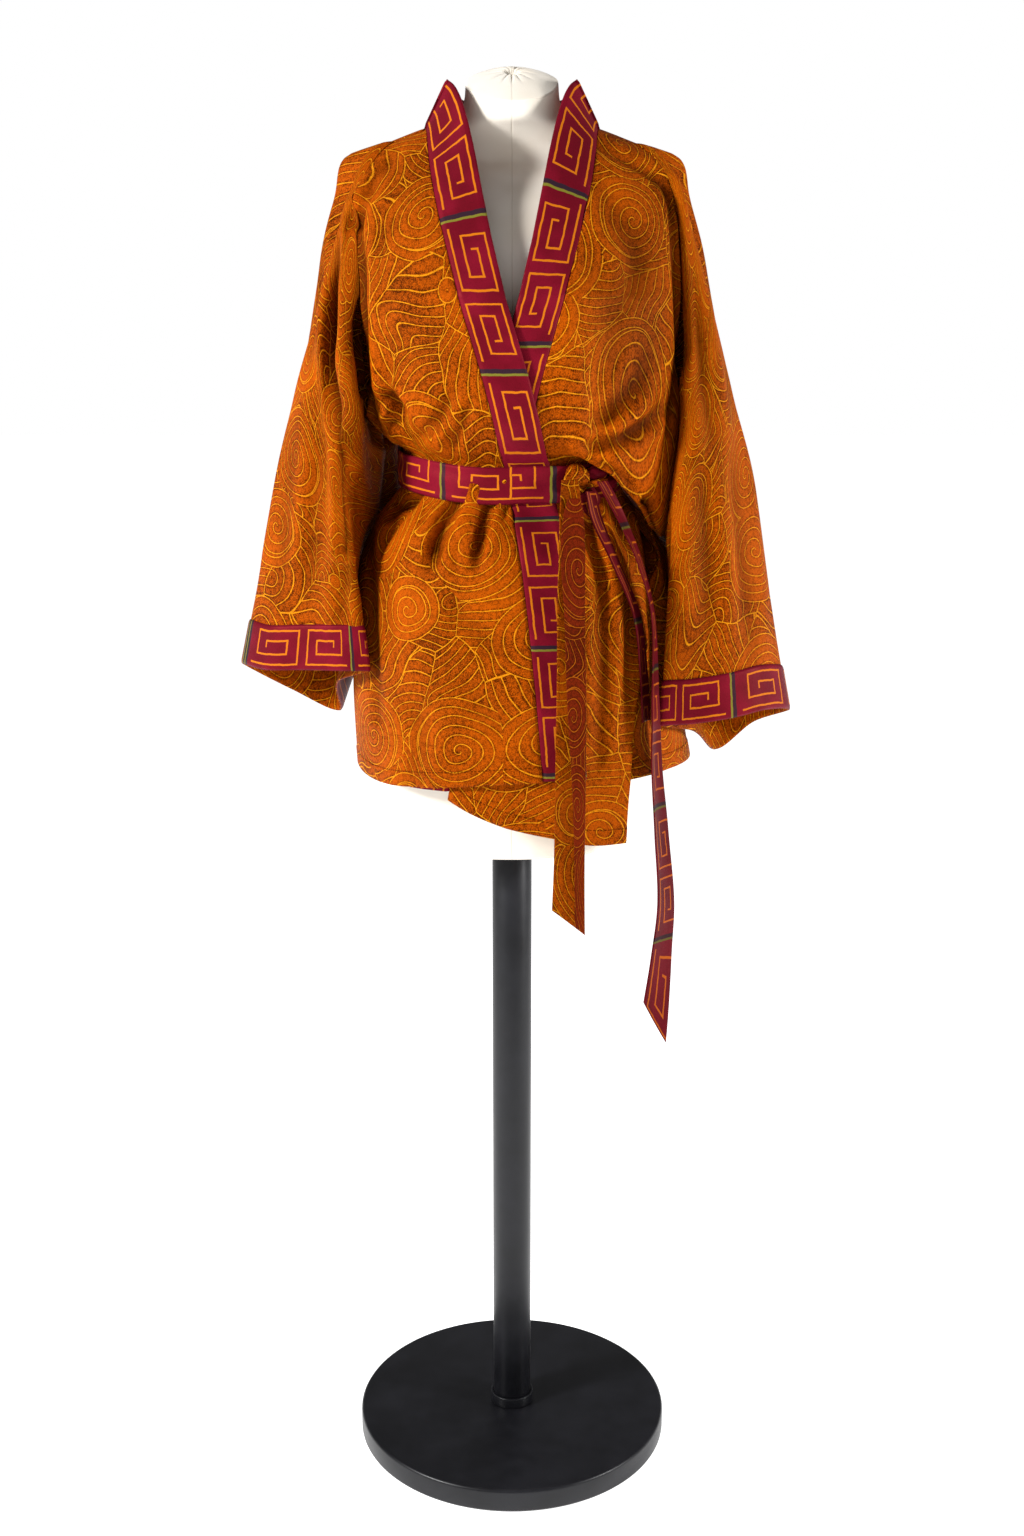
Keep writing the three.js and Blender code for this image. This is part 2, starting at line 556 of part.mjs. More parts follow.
// ---------------------------------------------------------------- bands
function bandGrid(side) {
  const sign = side === 'over' ? 1 : -1;
  const floor = side === 'over' ? look(HEM_OVER, 'angle', 'level', 12) : look(HEM_UNDER, 'x', 'level', -96);
  const widths = side === 'over' ? [0, 0.33, 0.67, 1] : [1, 0.67, 0.33, 0];
  return gridOf(LEVELS, widths, (share, row) => {
    const level = toHem(row, floor);
    const stand = radians(look(BAND_STAND, 'level', 'degrees', level));
    const seamX = look(FRONT_SEAM, 'level', side, level);
    const away = SEAM + share * (BAND_WIDTH - SEAM);
    const angle = frontAngle(seamX + sign * away * Math.cos(stand), level);
    const out = side === 'over' ? overOut(level) : underOut(angle) * ease((1330 - level) / 60);
    const flat = shell(angle, level, out);
    const rise = away * Math.sin(stand);
    return flat.add(new THREE.Vector3(0, -rise * 0.25, rise * 0.97));
  });
}

// Round the back of the neck the band stands on the neckline; its ends meet the front bands.
const NECK_BAND = { columns: 18, sideLean: 0.5, backLean: 0.1, climb: 0.22, above: 2.0, endGap: 0.8 };

// A point of the back neckline: along runs from 0 at the front's seam over the shoulder to 1 at the middle.
function necklinePoint(sign, along) {
  const angle = along < NECK_BAND.climb ? mix(27.8, 25.6, along / NECK_BAND.climb)
    : mix(25.6, 0, (along - NECK_BAND.climb) / (1 - NECK_BAND.climb));
  const level = along < NECK_BAND.climb ? mix(BACK_TOP, 1522, along / NECK_BAND.climb)
    : look(NECKLINE_BACK, 'angle', 'level', angle);
  return shell(180 - sign * angle, level + NECK_BAND.above * ease(along / NECK_BAND.climb));
}

function neckBand() {
  const over = bandGrid('over').at(-1);
  const under = bandGrid('under').at(-1).reverse();
  const shares = [0, 0.33, 0.67, 1];
  const centre = new THREE.Vector3(0, -6, 0);
  return wall(shares.map((share, j) => steps(NECK_BAND.columns).map((u) => {
    const half = 1 - Math.abs(2 * u - 1);
    const seam = necklinePoint(u < 0.5 ? -1 : 1, half);
    const inward = new THREE.Vector3().subVectors(centre, seam).setZ(0).normalize();
    const rise = share * BAND_WIDTH;
    const lean = mix(NECK_BAND.sideLean, NECK_BAND.backLean, ease(half));
    const climb = new THREE.Vector3(0, 0, rise * Math.sqrt(1 - lean * lean));
    const standing = seam.addScaledVector(inward, rise * lean).add(climb);
    const end = (u < 0.5 ? over[j] : under[j]).clone().add(new THREE.Vector3(0, NECK_BAND.endGap, 0));
    return standing.lerp(end, ease(1 - half / (NECK_BAND.climb * 1.4)));
  })), CLOTH);
}

// ---------------------------------------------------------------- sleeves and cuffs
// In degrees: the sleeve's head sits a little inside the back panel's edge, most at the shoulder ridge.
const ARMHOLE_EASE = { plain: 0.5, ridge: 2.2, half: 45 };

// A point of the armhole's edge; around runs down the front edge and up the back edge.
function armholePoint(side, around) {
  const sign = side === 'left' ? 1 : -1;
  const gap = 1.0;
  const under = UNDERARM + 2;
  if (around <= 0.5) {
    const level = mix(FRONT_TOP, under, around * 2);
    const angle = Math.min(89.9, look(ARMHOLE_FRONT, 'level', side, level) + gap);
    return shell(sign * angle, level, side === 'right' ? overOut(level) : 0);
  }
  const level = mix(under, BACK_TOP, around * 2 - 1);
  const slack = gap + ARMHOLE_EASE.plain + ARMHOLE_EASE.ridge * hump(level - RIDGE, ARMHOLE_EASE.half);
  const angle = Math.min(89.9, look(ARMHOLE_BACK, 'level', 'angle', level) + slack);
  return shell(180 - sign * angle, level);
}

// Push a place that would lie in the body out to its surface, its folds and its overhang included.
function clearOfBody(point, down) {
  const share = ease(down / 0.03) * ease((CHEST - point.z) / 80);
  if (share <= 0) return point;
  const level = clamp(point.z, HEM, CHEST);
  const sizes = (at) => {
    const half = look(BODY, 'level', point.x >= 0 ? 'right' : 'left', at);
    const depth = look(BODY, 'level', point.y < 0 ? 'front' : 'back', at);
    return [half, depth, look(BODY, 'level', 'square', at)];
  };
  const [half, depth, square] = sizes(level);
  const sine = Math.sign(point.x) * Math.pow(Math.abs(point.x) / half, 1 / square);
  const cosine = -Math.sign(point.y) * Math.pow(Math.abs(point.y) / depth, 1 / square);
  const angle = (Math.atan2(sine, cosine) * 180) / Math.PI;
  const drop = Math.max(0, look(SWAG, 'angle', 'drop', ((angle + 450) % 360) - 90));
  const { low, end } = SWAG_LEVELS;
  let [from, to] = [low, end];
  for (let k = 0; k < 14; k += 1) {
    const mid = (from + to) / 2;
    if (mid - drop * ease((end - mid) / (end - low)) < point.z) from = mid;
    else to = mid;
  }
  const hung = sizes(from);
  const hangs = drop > 1 ? ease((point.z - (low - drop) + 14) / 14) : 0;
  const fold = foldDepth(angle, level) + mix(SLEEVE_LIFT, SLEEVE_GAP, ease(down / 0.2));
  const wide = mix(half, hung[0], hangs) + fold;
  const deep = mix(depth, hung[1], hangs) + fold;
  const power = 2 / square;
  const reach = Math.pow(Math.pow(Math.abs(point.x) / wide, power) + Math.pow(Math.abs(point.y) / deep, power), 1 / power);
  const push = mix(1, Math.max(1, 1 / Math.max(reach, 0.2)), share);
  return new THREE.Vector3(point.x * push, point.y * push, point.z);
}

function sleevePoint(side, rows, around, down) {
  const sign = side === 'left' ? 1 : -1;
  const start = armholePoint(side, around);
  const value = (column) => lookRound(rows, column, around);
  const middle = new THREE.Vector3(sign * value('midX'), value('midY'), value('midZ'));
  const end = new THREE.Vector3(sign * value('cuffX'), value('cuffY'), value('cuffZ'));
  const half = 0.5;
  const chord = new THREE.Vector3().subVectors(end, start).multiplyScalar(half);
  const leave = new THREE.Vector3().subVectors(middle, start);
  const fromCap = ((around - CAP_LEAVE.around + 1.5) % 1) - 0.5;
  const outward = new THREE.Vector3(sign * CAP_LEAVE.x, CAP_LEAVE.y, CAP_LEAVE.z);
  leave.lerp(outward, hump(fromCap, CAP_LEAVE.half));
  const arrive = new THREE.Vector3().subVectors(end, middle);
  const t = down < half ? down / half : (down - half) / half;
  const axis = (name) => (down < half
    ? hermite(start[name], middle[name], leave[name], chord[name], t)
    : hermite(middle[name], end[name], chord[name], arrive[name], t));
  const corner = hump(fromCap, CAP_CORNER.half) * Math.exp(-(((down - CAP_CORNER.at) / CAP_CORNER.spread) ** 2));
  const place = new THREE.Vector3(axis('x') + sign * CAP_CORNER.x * corner, axis('y'), axis('z') + CAP_CORNER.z * corner);
  return clearOfBody(place, down);
}

const SLEEVE_COLUMNS = 30;
const SLEEVE_ROWS = [0, 0.04, 0.1, 0.18, 0.27, 0.36, 0.45, 0.54, 0.63, 0.72, 0.81, 0.9, 1];
const ringKeys = Array.from({ length: SLEEVE_COLUMNS }, (_, k) => k / SLEEVE_COLUMNS);

// Seen from outside, columns run the way that keeps the wall's outside out.
const facing = (side, grid) => (side === 'left' ? grid.map((row) => [...row].reverse()) : grid);

function sleeve(side, rows) {
  const grid = gridOf([...SLEEVE_ROWS].reverse(), ringKeys, (around, down) => sleevePoint(side, rows, around, down));
  return wall(facing(side, grid), CLOTH, true);
}

function cuff(side, rows) {
  const share = (around) => {
    const near = sleevePoint(side, rows, around, 0.8);
    const far = sleevePoint(side, rows, around, 1);
    return (CUFF_DEPTH / near.distanceTo(far)) * 0.2;
  };
  const heights = [0, 0.5, 1];
  const grid = facing(side, gridOf(heights, ringKeys, (around, height) => {
    return sleevePoint(side, rows, around, 1 - height * share(around));
  }));
  const normals = gridNormals(grid, true);
  const out = SEAM + CLOTH + 1.5;
  return wall(grid.map((row, j) => row.map((p, i) => p.clone().addScaledVector(normals[j][i], out))), CLOTH, true);
}

// ---------------------------------------------------------------- belt
// The belt lies on two more layers in front than behind.
const beltOut = (angle) => {
  const turned = ((angle + 540) % 360) - 180;
  return 1.6 + (LAYER + 0.6) * ease((turned + 112) / 22) * ease((78 - turned) / 30);
};
const BELT_COLUMNS = 64;

function beltPoint(angle, level, out) {
  return shell(angle, level, beltOut(angle) + BELT_WALL + out);
}

function beltWaist() {
  const angles = Array.from({ length: BELT_COLUMNS }, (_, k) => (k * 360) / BELT_COLUMNS);
  return wall(gridOf([BELT - BELT_HALF, BELT, BELT + BELT_HALF], angles, (a, level) => {
    const middle = beltPoint(a, BELT, 0);
    return new THREE.Vector3(middle.x, middle.y, beltPoint(a, BELT, 0).z + (level - BELT));
  }), BELT_WALL, true);
}

// A soft lump on the belt: flat against it inside, rounded outside.
function beltLump({ from, to, lower, upper, thick }) {
  const grid = gridOf(steps(4), steps(8), (u, v) => {
    const a = mix(from, to, u);
    const base = beltPoint(a, BELT, 0.5);
    const ahead = beltPoint(a + 1, BELT, 0.5).sub(beltPoint(a - 1, BELT, 0.5)).normalize();
    const outward = new THREE.Vector3(ahead.y, -ahead.x, 0);
    const round = Math.sqrt(Math.sin(Math.PI * clamp(u, 0.03, 0.97)) * Math.sin(Math.PI * clamp(v, 0.03, 0.97)));
    const pinch = mix(0.82, 1, Math.sin(Math.PI * u));
    const z = mix(lower, upper, 0.5 + (v - 0.5) * pinch) - BELT;
    const point = base.addScaledVector(outward, 1.5 + thick * round);
    return point.setZ(beltPoint(a, BELT, 0).z + z + 13);
  });
  const outerGrid = grid;
  const vertices = [];
  const columns = outerGrid[0].length;
  const rows = outerGrid.length;
  for (const row of outerGrid) for (const p of row) vertices.push(p.toArray());
  gridOf(steps(4), steps(8), (u, v) => {
    const a = mix(from, to, u);
    const base = beltPoint(a, BELT, 0.5);
    const z = outerGrid[Math.round(v * 4)][Math.round(u * 8)].z;
    vertices.push([base.x, base.y, z]);
    return null;
  });
  const faces = [];
  const quad = (a, b, c, d) => faces.push([a, b, c], [a, c, d]);
  const outer = (j, i) => j * columns + i;
  const inner = (j, i) => rows * columns + outer(j, i);
  for (let j = 0; j < rows - 1; j += 1) {
    for (let i = 0; i < columns - 1; i += 1) {
      quad(outer(j, i), outer(j, i + 1), outer(j + 1, i + 1), outer(j + 1, i));
      quad(inner(j, i), inner(j + 1, i), inner(j + 1, i + 1), inner(j, i + 1));
    }
    quad(outer(j, 0), outer(j + 1, 0), inner(j + 1, 0), inner(j, 0));
    quad(outer(j, columns - 1), inner(j, columns - 1), inner(j + 1, columns - 1), outer(j + 1, columns - 1));
  }
  for (let i = 0; i < columns - 1; i += 1) {
    quad(outer(0, i), inner(0, i), inner(0, i + 1), outer(0, i + 1));
    quad(outer(rows - 1, i), outer(rows - 1, i + 1), inner(rows - 1, i + 1), inner(rows - 1, i));
  }
  return solidFrom(vertices, faces);
}

function tail(rows, tip) {
  const zs = steps(20).map((t) => mix(rows[rows.length - 1].z, rows[0].z, t));
  const upward = [...rows].reverse();
  const grid = gridOf(zs, [-0.5, 0, 0.5], (side, z) => {
    const turn = radians(look(upward, 'z', 'turn', z));
    const width = look(upward, 'z', 'width', z) * side;
    const last = z === zs[0] ? tip.skew * (side + 0.5) : 0;
    const x = look(upward, 'z', 'x', z) + width * Math.cos(turn);
    const y = look(upward, 'z', 'y', z) + width * Math.sin(turn);
    return new THREE.Vector3(x, y, z + last);
  });
  return wall(grid, BELT_WALL);
}

// ---------------------------------------------------------------- form and stand
const FORM_COLUMNS = 30;
const formAngles = Array.from({ length: FORM_COLUMNS }, (_, k) => (k * 2 * Math.PI) / FORM_COLUMNS);

function formRing(section, scale = 1) {
  return formAngles.map((a) => {
    const y = -Math.cos(a) * (Math.cos(a) >= 0 ? section.front : section.back) * scale;
    return new THREE.Vector3(Math.sin(a) * section.side * scale, y, section.z + section.lean * y);
  });
}

function formTorso() {
  const upper = FORM[FORM.length - 1].z;
  const zs = steps(30).map((t) => mix(FORM[0].z, upper, 1 - Math.pow(1 - t, 1.45)));
  return rings(zs.map((z) => formRing({
    z,
    side: look(FORM, 'z', 'side', z),
    front: look(FORM, 'z', 'front', z),
    back: look(FORM, 'z', 'back', z),
    lean: look(FORM, 'z', 'lean', z),
  })));
}

function formCap() {
  const rounds = [0, 0.35, 0.65, 0.9, 1];
  return rings(rounds.map((t) => {
    const scale = Math.sqrt(1 - t * t * 0.93);
    return formRing({ ...CAP, z: CAP.z + CAP.rise * t }, scale);
  }));
}

const ROUND = 48;

function lathe(profile) {
  const geometry = new THREE.LatheGeometry(profile.map(([r, z]) => new THREE.Vector2(r, z)), ROUND);
  return geometry.rotateX(Math.PI / 2);
}

function standBase() {
  const { radius, height, edge } = BASE;
  const corner = (cx, cz, start) => steps(3).map((t) => {
    const a = radians(start + 90 * t);
    return [cx + edge * Math.cos(a), cz + edge * Math.sin(a)];
  });
  return lathe([[0, 0], ...corner(radius - edge, edge, -90), ...corner(radius - edge, height - edge, 0), [0, height]]);
}

const standPole = () => lathe([[0, POLE.bottom], [POLE.radius, POLE.bottom], [POLE.radius, POLE.top], [0, POLE.top]]);

function standCollar() {
  const { inner, outer, bottom, top } = COLLAR;
  return lathe([[inner, bottom], [outer, bottom], [outer, top - 2], [outer - 1.5, top], [inner, top], [inner, bottom]]);
}

// ---------------------------------------------------------------- the scene graph
const finish = (color, roughness, metalness = 0) => new THREE.MeshStandardMaterial({ color, roughness, metalness });
const mainCloth = () => finish('#b8690f', 0.6);
const bandCloth = () => finish('#7a1730', 0.5);
const jersey = () => finish('#e8e0d5', 0.85);
const blackSteel = () => finish('#26272a', 0.55, 0.3);

const kimono = new THREE.Group();
function add(name, geometry, material) {
  const mesh = new THREE.Mesh(geometry, material);
  mesh.name = name;
  kimono.add(mesh);
}

add('kimono_back', backPanel(), mainCloth());
add('kimono_front_right', frontOver(), mainCloth());
add('kimono_front_left', frontUnder(), mainCloth());
add('sleeve_right', sleeve('right', SLEEVE_RIGHT), mainCloth());
add('sleeve_left', sleeve('left', SLEEVE_LEFT), mainCloth());
add('band_over', wall(bandGrid('over'), CLOTH), bandCloth());
add('band_neck', neckBand(), bandCloth());
add('band_under', wall(bandGrid('under'), CLOTH), bandCloth());
add('cuff_right', cuff('right', SLEEVE_RIGHT), bandCloth());
add('cuff_left', cuff('left', SLEEVE_LEFT), bandCloth());
add('belt_waist', beltWaist(), bandCloth());
add('belt_knot', beltLump(KNOT), bandCloth());
for (const loop of LOOPS) add(loop.name, beltLump(loop), bandCloth());
add('belt_tail_front', tail(TAIL_FRONT, TAIL_FRONT_TIP), mainCloth());
add('belt_tail_side', tail(TAIL_SIDE, TAIL_SIDE_TIP), bandCloth());
add('form_torso', formTorso(), jersey());
add('form_cap', formCap(), jersey());
add('stand_pole', standPole(), blackSteel());
add('stand_collar', standCollar(), blackSteel());
add('stand_base', standBase(), blackSteel());

export default kimono;
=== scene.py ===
"""Looks of a short wrap kimono with its own belt, on a limbless dress form with a pole and a round base.

The garment's cloth is laid on one smooth surface that is given by angle (0 at the front's middle, 90 at the
wearer's left) and level (a height that runs on over the shoulder). Lengths in the tables are millimetres;
finished meshes are in metres.
"""

from __future__ import annotations

import logging
import math
from dataclasses import dataclass, field
from enum import Enum
from typing import Callable

import bmesh
import bpy
import numpy as np
from bpy.types import Material, Mesh, Node, NodeSocket, NodeTree, Object
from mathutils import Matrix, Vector

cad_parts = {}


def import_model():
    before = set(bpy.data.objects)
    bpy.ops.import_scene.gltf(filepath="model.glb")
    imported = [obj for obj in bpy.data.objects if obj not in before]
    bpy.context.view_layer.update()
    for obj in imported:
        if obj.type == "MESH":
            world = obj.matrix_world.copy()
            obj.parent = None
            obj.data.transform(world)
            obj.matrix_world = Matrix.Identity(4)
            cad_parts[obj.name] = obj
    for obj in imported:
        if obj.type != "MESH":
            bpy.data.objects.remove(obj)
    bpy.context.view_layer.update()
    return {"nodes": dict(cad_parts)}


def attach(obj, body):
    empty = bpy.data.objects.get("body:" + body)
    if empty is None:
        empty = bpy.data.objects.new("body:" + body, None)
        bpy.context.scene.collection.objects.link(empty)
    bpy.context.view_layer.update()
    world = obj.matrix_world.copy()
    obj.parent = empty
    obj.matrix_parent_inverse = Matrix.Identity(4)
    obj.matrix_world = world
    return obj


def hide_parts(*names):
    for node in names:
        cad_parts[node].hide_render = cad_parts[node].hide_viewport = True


LOG = logging.getLogger("kimono")
MM = 0.001
# A crease this deep, in mm, gets the fullest painted shade.
SHADE_FULL_DEPTH = 9.0
Array = np.ndarray


class Side(Enum):
    """The wearer's sides; the value is the sign of x."""

    RIGHT = -1
    LEFT = 1


class Face(Enum):
    """The way a crease is seen square on."""

    FRONT = "front"
    BACK = "back"
    OUTER = "outer"


# --- small helpers
def mix(a: Array | float, b: Array | float, t: Array | float) -> Array | float:
    """Blend from a to b."""
    return a + (b - a) * t


def ease(t: Array | float) -> Array:
    """Smooth step from 0 to 1."""
    t = np.clip(t, 0.0, 1.0)
    return t * t * (3 - 2 * t)


def hump(offset: Array | float, half: float) -> Array:
    """Cosine bell: 1 at no offset, 0 from half outwards."""
    away = np.clip(np.asarray(offset, float) / half, -1.0, 1.0)
    return 0.5 + 0.5 * np.cos(np.pi * away)


class Curve:
    """Smooth curve through (key, value) rows, flat beyond its ends, or a closed one with a period."""

    def __init__(self, keys: list[float], values: list[float], period: float = 0.0) -> None:
        """Store the rows and the slope at each.

        Args:
            keys: rising keys.
            values: the value at each key.
            period: length of one round where the curve closes, or 0.
        """
        key = np.array(keys, float)
        value = np.array(values, float)
        if period:
            key = np.concatenate([key[-2:] - period, key, key[:2] + period])
            value = np.concatenate([value[-2:], value, value[:2]])
        last = len(key) - 1
        before = np.maximum(np.arange(last + 1) - 1, 0)
        after = np.minimum(np.arange(last + 1) + 1, last)
        self.key, self.value, self.period = key, value, period
        self.slope = (value[after] - value[before]) / (key[after] - key[before])

    def __call__(self, key: Array | float) -> Array:
        """Value at each key.

        Args:
            key: one key or an array of them.

        Returns:
            The smooth values, of the same shape.
        """
        key = np.asarray(key, float)
        if self.period:
            key = np.mod(key, self.period)
        key = np.clip(key, self.key[0], self.key[-1])
        i = np.clip(np.searchsorted(self.key, key, side="right") - 1, 0, len(self.key) - 2)
        width = self.key[i + 1] - self.key[i]
        t = (key - self.key[i]) / width
        return hermite(self.value[i], self.value[i + 1], self.slope[i] * width, self.slope[i + 1] * width, t)


def hermite(a: Array, b: Array, leave: Array, arrive: Array, t: Array) -> Array:
    """Cubic from a to b with the given end slopes.

    Args:
        a: start value.
        b: end value.
        leave: slope at the start.
        arrive: slope at the end.
        t: share of the way.

    Returns:
        The value at t.
    """
    t2, t3 = t * t, t * t * t
    return a * (2 * t3 - 3 * t2 + 1) + leave * (t3 - 2 * t2 + t) + b * (3 * t2 - 2 * t3) + arrive * (t3 - t2)


def table(names: str, rows: tuple[tuple[float, ...], ...], period: float = 0.0) -> dict[str, Curve]:
    """One curve for each named column after the key column.

    Args:
        names: the columns' names with spaces between, the key's left out.
        rows: rows of key and values.
        period: length of one round where the table closes, or 0.

    Returns:
        Curves by column name.
    """
    columns = list(zip(*rows))
    return {name: Curve(columns[0], columns[k + 1], period) for k, name in enumerate(names.split())}


def unit(vectors: Array) -> Array:
    """Vectors of length one."""
    return vectors / np.maximum(np.linalg.norm(vectors, axis=-1, keepdims=True), 1e-9)


def ripple(u: Array, v: Array, seed: int, scale: float, count: int = 9) -> Array:
    """Gentle uneven waves, the same on every run.

    Args:
        u: coordinate across, mm.
        v: coordinate up, mm.
        seed: picks the set of waves.
        scale: longest wave length, mm.
        count: how many waves are added.

    Returns:
        Heights of about one unit.
    """
    total = np.zeros_like(u, dtype=float)
    for k in range(count):
        turn = 2.399963 * (k + 1) + seed * 1.7
        length = scale * (1.0 - 0.62 * k / count)
        phase = 5.3 * seed + 1.9 * k * k
        total += np.sin((u * math.cos(turn) + v * math.sin(turn) * 0.55) * 2 * math.pi / length + phase)
    return total / math.sqrt(count)


# --- creases
@dataclass(frozen=True)
class Crease:
    """A crease in cloth along a line of (across, up) points in mm, seen square on to one face."""

    line: tuple[tuple[float, float], ...]
    depth: float
    width: float
    face: Face = Face.FRONT
    rim: float = 0.35
    start: float = 0.0
    end: float = 0.0

    def offset(self, points: Array, normals: Array) -> Array:
        """How far out each point moves.

        Args:
            points: places in mm.
            normals: unit normals there.

        Returns:
            Distance along the normal; minus goes in.
        """
        facing = {Face.FRONT: -normals[:, 1], Face.BACK: normals[:, 1], Face.OUTER: np.abs(normals[:, 0])}
        across = points[:, 1] if self.face is Face.OUTER else points[:, 0]
        spot = np.stack([across, points[:, 2]], axis=1)
        line = np.array(self.line, float)
        steps = np.linalg.norm(np.diff(line, axis=0), axis=1)
        done = np.concatenate([[0.0], np.cumsum(steps)])
        nearest = np.full(len(points), 1e9)
        along = np.zeros(len(points))
        for k, step in enumerate(steps):
            way = (line[k + 1] - line[k]) / step
            run = np.clip((spot - line[k]) @ way, 0.0, step)
            away = np.linalg.norm(spot - line[k] - run[:, None] * way, axis=1)
            closer = away < nearest
            nearest = np.where(closer, away, nearest)
            along = np.where(closer, (done[k] + run) / done[-1], along)
        fade = mix(self.start, 1.0, ease(along / 0.35)) * mix(self.end, 1.0, ease((1 - along) / 0.35))
        core = np.exp(-((nearest / self.width) ** 2))
        shoulder = np.exp(-(((nearest - 2.1 * self.width) / self.width) ** 2))
        return self.depth * (core - self.rim * shoulder) * fade * ease((facing[self.face] + 0.05) / 0.4)


# --- meshes
def link(mesh: Mesh, name: str) -> Object:
    """Put a mesh in the scene as an object at the origin."""
    piece = bpy.data.objects.new(name, mesh)
    bpy.context.scene.collection.objects.link(piece)
    return piece


def grid_mesh(name: str, columns: int, rows: int) -> tuple[Mesh, Array, Array]:
    """A flat grid to be moved into shape.

    Args:
        name: the mesh's name.
        columns: faces across.
        rows: faces up.

    Returns:
        The mesh, and u and v from 0 to 1 at its vertices.
    """
    bm = bmesh.new()
    bmesh.ops.create_grid(bm, x_segments=columns, y_segments=rows, size=0.5)
    mesh = bpy.data.meshes.new(name)
    bm.to_mesh(mesh)
    bm.free()
    place = np.empty(len(mesh.vertices) * 3)
    mesh.vertices.foreach_get("co", place)
    place = place.reshape(-1, 3)
    return mesh, np.clip(place[:, 0] + 0.5, 0, 1), np.clip(place[:, 1] + 0.5, 0, 1)


@dataclass
class Laid:
    """What a shape function gives in mm: places, places on the flat cloth, heights over the hem."""

    points: Array
    flat: Array
    hem: Array | None = None


Shape = Callable[[Array, Array], Laid]


def cloth_piece(
    name: str,
    columns: int,
    rows: int,
    shape: Shape,
    creases: tuple[Crease, ...] = (),
    closed: bool = False,
    thick: float = 1.3,
    inward: float = -1.0,
    relief: Callable[[Array, Array, Array], Array] | None = None,
    shade: float = 0.0,
) -> Object:
    """A sheet of cloth: a grid laid in shape, creased, and given its thickness.

    Args:
        name: the piece's name.
        columns: faces across.
        rows: faces up.
        shape: gives places in mm from u and v.
        creases: creases pressed into it.
        closed: whether its first and last columns are one.
        thick: cloth thickness in mm.
        inward: which way the thickness goes, -1 inwards and 1 outwards.
        relief: further height in mm from points, u and v.
        shade: painted shade laid evenly over its whole cloth, on top of the painted shade of its creases; 0
            to 1.

    Returns:
        The finished object.
    """
    mesh, u, v = grid_mesh(name, columns, rows)
    laid = shape(u, v)
    points = laid.points
    mesh.vertices.foreach_set("co", (points * MM).ravel())
    mesh.update()
    normals = np.empty(len(points) * 3)
    mesh.vertex_normals.foreach_get("vector", normals)
    normals = normals.reshape(-1, 3)
    if closed:
        order = np.lexsort((u, np.round(v * rows)))
        first, last = order[:: columns + 1], order[columns :: columns + 1]
        shared = unit(normals[first] + normals[last])
        normals[first], normals[last] = shared, shared
    out = np.zeros(len(points))
    for crease in creases:
        out += crease.offset(points, normals)
    # Painted shade: cloth is painted darker the deeper its creases press in, and shade darkens the whole
    # piece.
    painted_shade = np.clip(-out / SHADE_FULL_DEPTH + shade, 0.0, 1.0)
    if relief:
        out += relief(points, u, v)
    points = points + normals * out[:, None]
    mesh.vertices.foreach_set("co", (points * MM).ravel())
    corner = np.empty(len(mesh.loops), dtype=np.int32)
    mesh.loops.foreach_get("vertex_index", corner)
    layer = mesh.uv_layers.new(name="cloth")
    layer.uv.foreach_set("vector", (laid.flat[corner] * MM).ravel())
    hem = mesh.attributes.new("hem", "FLOAT", "POINT")
    hem.data.foreach_set("value", np.full(len(points), 1.0) if laid.hem is None else laid.hem * MM)
    mesh.attributes.new("painted_shade", "FLOAT", "POINT").data.foreach_set("value", painted_shade)
    if closed:
        bm = bmesh.new()
        bm.from_mesh(mesh)
        bmesh.ops.remove_doubles(bm, verts=bm.verts, dist=1e-6)
        bm.to_mesh(mesh)
        bm.free()
    mesh.shade_smooth()
    piece = link(mesh, name)
    body = piece.modifiers.new("thickness", "SOLIDIFY")
    body.thickness = thick * MM
    body.offset = inward
    return piece


def dress(piece: Object, finish: Material, slot: str, *nodes: str) -> Object:
    """Give a piece its material and its place in the frame.

    Args:
        piece: the finished object.
        finish: its material.
        slot: the record's material slot; not used.
        nodes: the CAD nodes that it stands for.

    Returns:
        The same object.
    """
    piece.data.materials.append(finish)
    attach(piece, "root")
    if nodes:
        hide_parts(*nodes)
    triangles = sum(len(face.vertices) - 2 for face in piece.data.polygons)
    LOG.info("%s: %d triangles before its modifiers", piece.name, triangles)
    return piece


# --- the garment's surface
HEM = 834.0
BELT = 1161.0
UNDERARM = 1202.0
CHEST = 1333.0
RIDGE = 1533.0
WRAP = 14.0
FRONT_TOP = RIDGE - WRAP
BACK_TOP = RIDGE + WRAP
LOOSE = 1040.0
LAYER = 4.2
BAND_WIDTH = 46.0
FLAT_DEGREE = 2.8


